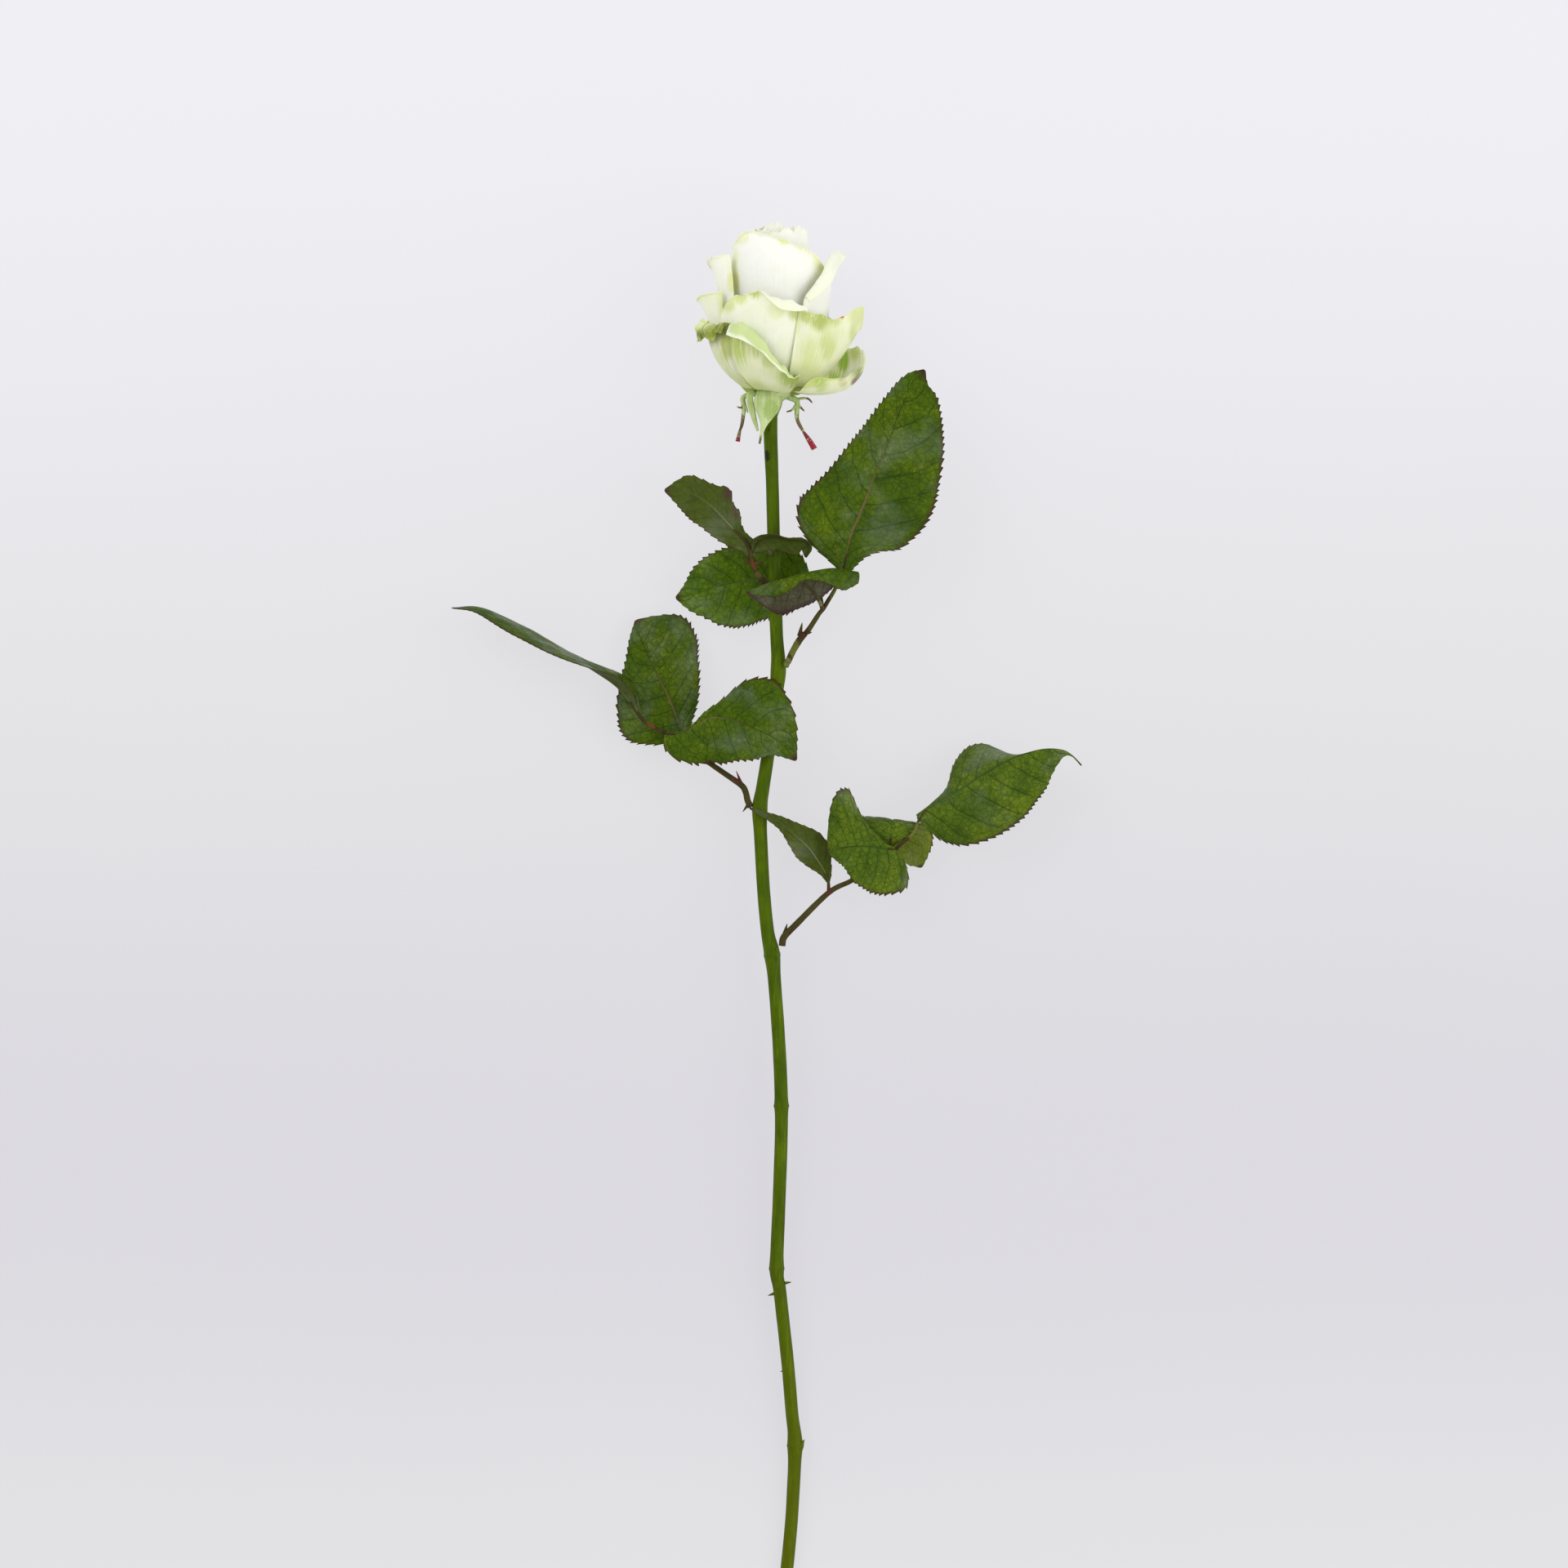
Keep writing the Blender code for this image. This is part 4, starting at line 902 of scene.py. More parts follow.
@dataclass(frozen=True)
class Blade:
    """A leaflet: a midrib and, across it, two halves that fold and bend.

    Lengths are millimetres and angles degrees. Values run from base to tip: left and right are half widths.
    TOOTH_FORM is how far each row of a tooth stands out, from its start to its point.
    """

    name: str
    midrib: tuple[Point, ...]
    left: Values
    right: Values
    facing: Point = (0.0, 0.0, 1.0)
    roll: Values = (0, 0)
    fold_left: Values = (0, 0)
    fold_right: Values = (0, 0)
    bend_left: Values = (-10, -10)
    bend_right: Values = (-10, -10)
    sweep_left: Values = (-25, 0, 15)
    sweep_right: Values = (-25, 0, 15)
    wave: float = 0.5
    tooth: float = 1.2
    relief: float = 1.0
    wall: float = 0.4
    slot: Slot = Slot.LEAF
    finishes: tuple[str, str] = ("leaf_top", "leaf_below")
    across: int = 17

    ROUGH_ROWS = 24
    RIM = 0.5
    VEINS = 8.0
    VEIN_LEAN = 0.2
    VEIN_LEAN_CURVE = 1.25
    PUFF = 0.2
    PUFF_SPREAD = 0.2
    PUFF_RISE = 4.0
    PUFF_FALL = 3.5
    GROOVE = 0.36
    GROOVE_WIDTH = 0.55
    GROOVE_AT_BASE = 1.15
    GROOVE_LOSS = 0.75
    FULL_WIDTH = 9.0
    RIPPLES = 9.5
    RIPPLE_SHIFT = 1.7
    RIPPLE_FULL_WIDTH = 8.0
    TOOTH_FORM = (0.0, 0.16, 0.36, 0.64, 1.0)
    TOOTH_ROWS = len(TOOTH_FORM)
    TOOTH_BASE = 0.4
    TOOTH_LEAN = 0.9
    TOOTH_PITCH = 2.7
    TOOTH_DRAG = 0.3
    TOOTH_MOST = 1.2
    TOOTH_UNEVEN_PITCH = 3.1
    LEAST_TEETH = 8
    NO_WIDTH = 1e-6

    @staticmethod
    def half(side: Side, left: Values, right: Values, t: float) -> float:
        """The value of one half's numbers at t."""
        return smooth_value(right if side is Side.RIGHT else left, t)

    def swell(self, side: Side, share: float, t: float, wide: float) -> float:
        """How far the skin stands over the smooth blade.

        Args:
            side: which half.
            share: the place from the midrib, 0, to the margin, 1.
            t: the place from base to tip.
            wide: the half's width there, in millimetres.

        Returns:
            The height in millimetres: grooves on the veins and swells between them.
        """
        phase = (t - self.VEIN_LEAN * share ** self.VEIN_LEAN_CURVE) * self.VEINS
        phase += 0.5 if side is Side.RIGHT else 0.0
        off = abs(phase - round(phase))
        puff = self.PUFF * (1 - math.exp(-(off / self.PUFF_SPREAD) ** 2))
        puff *= min(1.0, self.PUFF_RISE * share) * min(1.0, self.PUFF_FALL * (1 - share))
        groove = self.GROOVE * math.exp(-(share * wide / self.GROOVE_WIDTH) ** 2)
        groove *= self.GROOVE_AT_BASE - self.GROOVE_LOSS * t
        return self.relief * min(1.0, wide / self.FULL_WIDTH) * (puff - groove)

    def surface(self, rows: int) -> list[list[Vector]]:
        """The blade's middle surface.

        Args:
            rows: how many rows it has from base to tip.

        Returns:
            The rows of points, in millimetres.
        """
        route = Route(self.midrib, rows)
        grid: list[list[Vector]] = []
        for i, (centre, ahead, normal) in enumerate(zip(route.points, route.ahead(),
                                                        route.normals(Vector(self.facing)))):
            t = i / rows
            normal = Quaternion(ahead, math.radians(smooth_value(self.roll, t))) @ normal
            right = ahead.cross(normal)
            row: list[Vector] = []
            for j in range(-self.across, self.across + 1):
                side = Side.RIGHT if j > 0 else Side.LEFT
                share = abs(j) / self.across
                wide = self.half(side, self.left, self.right, t)
                fold = self.half(side, self.fold_left, self.fold_right, t)
                bend = self.half(side, self.bend_left, self.bend_right, t)
                sweep = math.radians(self.half(side, self.sweep_left, self.sweep_right, t))
                out, up = arc_run(wide * share, fold, bend * share)
                ripple = math.sin(self.RIPPLES * t + self.RIPPLE_SHIFT * side.value)
                ripple *= self.wave * share * share * min(1.0, wide / self.RIPPLE_FULL_WIDTH)
                ripple += self.swell(side, share, t, wide)
                outward = right * (side.value * math.cos(sweep)) + ahead * math.sin(sweep)
                row.append(centre + outward * out + normal * (up + ripple))
            grid.append(row)
        return grid

    def toothed(self, grid: list[list[Vector]]) -> None:
        """Cuts forward-pointing saw teeth into both margins.

        Args:
            grid: the blade's rows of points, which it moves.
        """
        last = len(grid) - 1
        for edge, inner in ((0, 2), (-1, -3)):
            for i in range(1, last):
                out = grid[i][edge] - grid[i][inner]
                if out.length < self.NO_WIDTH:
                    continue
                form = self.TOOTH_FORM[i % self.TOOTH_ROWS]
                size = min(self.tooth, self.TOOTH_MOST * out.length)
                size *= 0.75 + 0.5 * abs(soft_noise(grid[i][edge], self.TOOTH_UNEVEN_PITCH, 2.0))
                step = grid[min(i + 1, last)][edge] - grid[i][edge]
                shift = out.normalized() * (size * (form - self.TOOTH_BASE))
                shift += step * (self.TOOTH_LEAN * form * size)
                grid[i][edge] = grid[i][edge] + shift
                grid[i][(edge + inner) // 2] += shift * self.TOOTH_DRAG

    def build(self, prefix: str) -> Piece:
        """Makes the piece.

        Args:
            prefix: what its name starts with.

        Returns:
            The blade with its wall.
        """
        rough = self.surface(self.ROUGH_ROWS)
        edge = sum((after[-1] - before[-1]).length for before, after in zip(rough, rough[1:]))
        rows = self.TOOTH_ROWS * max(self.LEAST_TEETH, round(edge / self.TOOTH_PITCH))
        grid = self.surface(rows)
        if self.tooth:
            self.toothed(grid)
        piece = Bench.sheet(f"{prefix}.{self.name}", 2 * self.across, rows)
        Bench.lay(piece, grid)
        Bench.wall(piece, self.wall, self.RIM)
        return piece


@dataclass(frozen=True)
class Leaflets:
    """All the leaflets of the rose."""

    PLAIN = ("leaf_plain", "leaf_below")

    blades: tuple[Blade, ...] = (
        Blade("upper_1",
              ((-5.6, 127.4, 28.2), (-7.2, 132.3, 28.5), (-13.2, 138.3, 29.4), (-19.8, 145.2, 30.2),
               (-25.4, 149.4, 30.2), (-31.2, 151.6, 29.2), (-37.8, 151.9, 27.8)),
              left=(1.0, 3.2, 2.2, 3.4, 6.2, 6.6, 9.6, 7.2, 6.6, 6.4, 3.4, 0.4),
              right=(1.0, 4.0, 6.0, 7.4, 8.2, 8.8, 7.8, 5.2, 0.4),
              facing=(0, 0, -1), fold_left=(25, 15), fold_right=(10, 5), sweep_left=(-10, 0, 5),
              sweep_right=(-10, 0, 5), wave=1.3, tooth=0.6, slot=Slot.LEAF_UNDER),
        Blade("upper_2",
              ((-5.5, 129.4, 28.8), (-3.2, 133.8, 30.0), (2.4, 134.9, 31.0), (7.4, 133.4, 31.2),
               (12.6, 133.2, 30.8), (15.2, 131.2, 30.2), (14.0, 127.2, 29.2)),
              left=(0.8, 4.4, 5.8, 4.2, 4.0, 2.4, 0.4), right=(0.8, 7.6, 6.6, 4.6, 5.4, 5.0, 0.4),
              facing=(0, -0.8, 0.6), fold_left=(50, 40), fold_right=(30, 20), sweep_left=(0, 0),
              sweep_right=(0, 0), wave=0.8, tooth=0.6, slot=Slot.LEAF_UNDER,
              finishes=("leaf_below", "leaf_below")),
        Blade("a_1",
              ((27.8, 122.6, 28.8), (30.6, 135.0, 31.6), (33.6, 142.4, 32.6), (36.4, 149.7, 33.0),
               (39.9, 159.3, 33.0), (43.8, 168.3, 32.4), (47.4, 178.2, 31.2), (50.7, 186.3, 29.8),
               (53.7, 192.3, 28.6), (57.6, 196.0, 27.4)),
              left=(2.6, 15.6, 22.6, 20.6, 17.0, 14.0, 11.8, 9.4, 7.0, 4.6, 0.4),
              right=(2.4, 7.6, 17.0, 22.8, 24.9, 24.1, 21.8, 18.9, 15.2, 9.8, 0.4),
              fold_left=(20, 12, 5), fold_right=(22, 12, 5), bend_left=(-28, -22, -10),
              bend_right=(-35, -25, -10), sweep_left=(2, 0, 5), sweep_right=(-12, 0, 10), wave=0.6),
        Blade("a_2",
              ((33.4, 121.8, 35.3), (25.0, 123.4, 36.1), (16.8, 122.2, 36.5), (9.0, 120.2, 36.3),
               (0.3, 117.8, 35.3), (-7.8, 114.3, 34.1)),
              left=(4.6, 9.0, 8.4, 5.0, 3.0, 5.6, 6.6, 4.6, 0.4),
              right=(2.0, 7.0, 9.6, 12.8, 15.2, 16.6, 17.4, 13.6, 0.4),
              facing=(0, 1, 0), fold_left=(-35, -30), fold_right=(-30, -25), bend_left=(-70, -60),
              bend_right=(-55, -45), sweep_left=(-20, 0, 0), sweep_right=(0, 0, 2, 6), wave=0.4, tooth=0.45,
              finishes=("leaf_top", "leaf_dusky")),
        Blade("a_3",
              ((16.3, 117.9, 17.4), (6.0, 118.8, 15.6), (-4.8, 119.2, 14.4), (-15.0, 117.6, 13.6),
               (-22.0, 115.6, 12.8), (-28.0, 113.6, 12.2), (-33.8, 112.6, 11.4)),
              left=(1.0, 10.0, 13.6, 15.2, 16.6, 16.4, 13.6, 7.4, 0.4),
              right=(1.0, 10.4, 12.8, 13.4, 13.8, 12.9, 10.9, 6.4, 0.4),
              fold_left=(10, 8), fold_right=(12, 8), bend_left=(-26, -20), bend_right=(-26, -20),
              sweep_left=(-10, 0, 5), sweep_right=(-10, 0, 5), finishes=("leaf_bright", "leaf_below")),
        Blade("b_1",
              ((-47.9, 70.6, 17.6), (-54.6, 79.4, 17.8), (-64.2, 86.2, 17.4), (-78.0, 94.6, 17.0),
               (-89.4, 101.2, 16.6), (-105.2, 108.6, 16.2), (-116.2, 108.9, 15.6)),
              left=(1.0, 8.0, 12.0, 14.0, 14.6, 13.6, 11.4, 7.0, 0.4),
              right=(1.0, 8.0, 12.0, 14.6, 15.6, 15.0, 12.6, 8.0, 0.4),
              facing=(0.5, 0.85, 0.16), fold_left=(54, 10, -2, -4), fold_right=(50, 4, -4, -6),
              bend_left=(-10, -12, -8), bend_right=(-10, -10, -8), sweep_left=(-10, 0, 10),
              sweep_right=(-10, 0, 10), wave=0.3, tooth=0.5),
        Blade("b_2",
              ((-30.7, 60.4, 12.0), (-34.2, 70.6, 9.6), (-37.5, 78.3, 8.8), (-40.8, 84.3, 8.4),
               (-43.5, 89.8, 7.8), (-46.6, 97.2, 6.8), (-48.6, 104.4, 5.4)),
              left=(1.0, 12.0, 20.0, 22.0, 20.0, 14.4, 8.4, 4.2, 0.4),
              right=(1.0, 5.0, 9.6, 13.4, 17.0, 19.4, 19.6, 14.4, 0.4),
              fold_left=(12, 8), fold_right=(14, 10), bend_left=(-24, -20), bend_right=(-30, -24),
              sweep_left=(-25, -8, 0), sweep_right=(-10, 2, 6, 26)),
        Blade("b_3",
              ((-37.2, 62.6, 18.5), (-31.5, 62.6, 19.8), (-26.4, 65.6, 21.4), (-20.4, 68.6, 22.8),
               (-12.3, 67.4, 23.6), (-3.6, 63.9, 24.2), (3.9, 59.8, 24.0), (10.5, 52.8, 23.0)),
              left=(1.0, 1.0, 1.6, 5.2, 15.8, 19.4, 15.6, 6.8, 0.4),
              right=(1.0, 10.4, 15.2, 17.0, 16.6, 13.4, 10.0, 4.8, 0.4),
              fold_left=(16, 14), fold_right=(6, 6), bend_left=(-34, -26), bend_right=(-16, -14),
              sweep_left=(0, 0), sweep_right=(-55, -25, 0, 0, 0)),
        Blade("c_1",
              ((54.8, 32.2, 22.9), (63.0, 37.8, 24.6), (69.9, 41.7, 25.4), (81.3, 48.9, 26.0),
               (91.2, 54.0, 25.6), (100.8, 56.8, 24.2), (108.0, 56.6, 22.6), (111.8, 54.6, 21.4),
               (115.4, 51.0, 20.2)),
              left=(1.0, 1.6, 5.0, 15.5, 21.0, 21.5, 17.5, 13.0, 6.6, 1.0, 0.3),
              right=(1.0, 14.0, 20.0, 22.8, 23.4, 22.2, 19.4, 16.0, 10.6, 1.2, 0.3),
              fold_left=(-50, -50, -50, -57, -88, -90, -86), fold_right=(-6, -6), bend_left=(-14, -12),
              bend_right=(-24, -18), sweep_left=(0, 0), sweep_right=(-30, 0, 5), finishes=PLAIN),
        Blade("c_2",
              ((46.6, 20.3, 23.8), (42.0, 20.6, 24.8), (37.5, 21.2, 25.4), (33.6, 21.3, 25.6),
               (27.6, 20.6, 25.4), (21.6, 19.2, 24.8)),
              left=(5.0, 16.6, 18.2, 17.8, 16.0, 12.8, 7.6, 4.4, 0.4),
              right=(0.8, 1.6, 4.0, 6.6, 12.4, 21.8, 20.8, 13.0, 0.4),
              fold_left=(-4, 4), fold_right=(20, 12), bend_left=(-16, -10), bend_right=(-20, -24),
              sweep_left=(-50, -16, 5, 0), sweep_right=(0, -1, -3, -6), finishes=PLAIN),
        Blade("c_3",
              ((45.2, 21.3, 18.9), (45.2, 26.0, 20.8), (45.4, 29.6, 19.4), (46.0, 31.0, 14.6),
               (48.6, 27.2, 10.2), (52.6, 20.2, 7.8), (56.6, 13.4, 7.0)),
              left=(1.0, 6.4, 9.4, 10.6, 11.0, 10.4, 8.8, 5.6, 0.4),
              right=(1.0, 5.4, 8.4, 11.0, 13.2, 14.0, 11.6, 7.0, 0.4),
              bend_left=(-6, -6), bend_right=(-6, -6), wave=0.3, finishes=("leaf_plain", "leaf_olive_painted_light")),
        Blade("c_4",
              ((22.3, 8.2, 18.6), (21.0, 11.9, 19.4), (18.3, 16.2, 20.2), (15.0, 20.7, 21.0),
               (10.5, 24.9, 21.4), (5.4, 29.1, 21.6), (0.0, 32.1, 21.4), (-6.6, 35.3, 20.8)),
              left=(0.7, 3.4, 6.2, 6.8, 5.2, 3.4, 2.2, 1.2, 0.4),
              right=(0.7, 2.6, 4.8, 5.8, 4.4, 2.6, 1.6, 0.9, 0.4),
              facing=(0, 0, -1), fold_left=(18, 10), fold_right=(12, 10), sweep_left=(-10, 0, 5),
              sweep_right=(-10, 0, 5), tooth=0.3, slot=Slot.LEAF_UNDER),
    )

    def build(self, paint: Paint) -> None:
        """Makes every leaflet and lets it stand for its solid.

        Args:
            paint: the finishes by name.
        """
        for blade in self.blades:
            Bench.seat(blade.build("leaf"), f"leaflet_{blade.name}", blade.slot,
                       [paint[name] for name in blade.finishes])


class Whorl(Enum):
    """A ring of petals, by its profile: pairs of distance from the bloom's axis and height along it."""

    GUARD = ((6.6, -0.4), (10.2, -1.0), (15.0, 2.0), (19.2, 6.2), (22.3, 11.4), (24.0, 17.0), (25.6, 27.0))
    SPREAD = ((6.6, -0.4), (13.0, -2.0), (20.5, -1.8), (26.8, 0.3), (31.2, 4.5), (33.0, 9.8), (32.6, 16.0))
    OUTER = ((5.4, 1.5), (10.0, 0.6), (15.4, 3.8), (19.6, 9.4), (22.0, 16.0), (23.0, 24.0), (24.2, 37.0))
    MIDDLE = ((4.1, 2.6), (8.5, 2.2), (13.4, 5.4), (16.8, 11.8), (18.4, 21.0), (18.8, 32.0), (19.6, 50.0))
    BUD = ((3.1, 3.7), (6.6, 4.2), (10.4, 8.8), (13.0, 17.0), (15.2, 30.0), (17.2, 44.0), (14.8, 60.0))
    INNER = ((2.3, 4.7), (4.8, 6.2), (7.5, 12.0), (9.5, 21.0), (10.9, 33.0), (11.2, 46.0), (9.0, 60.0))
    CORE = ((1.55, 5.35), (3.4, 8.0), (5.0, 14.0), (6.5, 23.0), (7.6, 35.0), (7.5, 48.0), (5.8, 60.0))
    HEART = ((0.8, 5.7), (1.9, 9.0), (2.8, 15.0), (3.7, 24.0), (4.3, 36.0), (4.2, 48.0), (3.2, 60.0))


@dataclass(frozen=True)
class Petal:
    """One petal: a band of its whorl's surface, with a rim that may roll outwards.

    Turn 0 faces up from the floor and 90 faces right. Half widths run from claw to rim, and the other rows
    of values from the left edge to the right. Turns, half widths and rolls are degrees, lengths millimetres.
    """

    name: str
    whorl: Whorl
    turn: float
    half_width: Values
    rim: Values
    roll: Values = (25, 25, 25, 25, 25)
    roll_radius: float = 2.5
    flare: Values = (0, 0, 0, 0, 0)
    flare_power: float = 2.0
    out: float = 0.0
    lip: Values = (0, 0, 0, 0, 0)
    ruffle: float = 0.3
    scallop: float = 0.25
    crinkle: float = 0.14
    crumple: float = 0.0
    pleat: float = 0.0
    wall: float = 0.42
    across: int = 40
    rows: int = 26
    roll_rows: int = 8
    rounding: int = 0
    slot: Slot = Slot.PETAL
    finishes: tuple[str, str] = ("petal_cream", "petal_inside")

    RIM = 0.45
    LEAST_ARC = 1.4
    ROW_CROWDING = 1.2
    OUT_BY = 0.3
    SCALLOPS = 11.0
    FINE_SCALLOPS = 23.0
    FINE_SHARE = 0.6
    RIM_SCALLOP = 0.5
    LIP_SCALLOP = 0.4
    RUFFLES = 5.5
    PUCKER_PITCH = 4.5
    FINE_PUCKER_PITCH = 2.2
    PLEATS = 26.0
    PLEAT_DRIFT = 6.0
    CRUMPLE_BY = 1.5
    CRUMPLE_OUT_PITCH = 2.6
    CRUMPLE_UP_PITCH = 2.9

    def notch(self, u: float) -> float:
        """How far the scallops lift the rim at a place across the petal, for a scallop of 1."""
        fine = math.sin(self.FINE_SCALLOPS * u + 0.4 * self.turn)
        return math.sin(self.SCALLOPS * u + self.turn) + self.FINE_SHARE * fine

    def wave(self, u: float, v: float, flat: Vector) -> float:
        """How far ruffles, puckers and pleats push a place outwards.

        Args:
            u: the place across the petal, from -1 to 1.
            v: the place along it, from 0 at the claw to 1 at the rim.
            flat: the place on the smooth petal.

        Returns:
            The push in millimetres.
        """
        push = self.ruffle * v ** 4 * math.sin(self.RUFFLES * u + 0.07 * self.turn) * 2
        pucker = soft_noise(flat, self.PUCKER_PITCH, self.turn)
        pucker += 0.5 * soft_noise(flat, self.FINE_PUCKER_PITCH, self.turn)
        push += self.crinkle * pucker * min(1.0, 1.6 * v * v)
        folds = math.sin(self.PLEATS * u + 2 * soft_noise(flat, self.PLEAT_DRIFT, 4.0))
        return push + self.pleat * folds * min(1.0, 3 * v)

    def crumpling(self, flat: Vector, past: float) -> tuple[float, float]:
        """How far a crumpled rim is pushed.

        Args:
            flat: the place on the smooth petal.
            past: how far past the start of the roll it is, in millimetres.

        Returns:
            The push outwards and the push up the bloom, in millimetres.
        """
        folds = self.crumple * min(1.0, past / self.CRUMPLE_BY)
        return (folds * soft_noise(flat, self.CRUMPLE_OUT_PITCH, 7.0 + self.turn),
                folds * soft_noise(flat, self.CRUMPLE_UP_PITCH, 21.0 + self.turn))


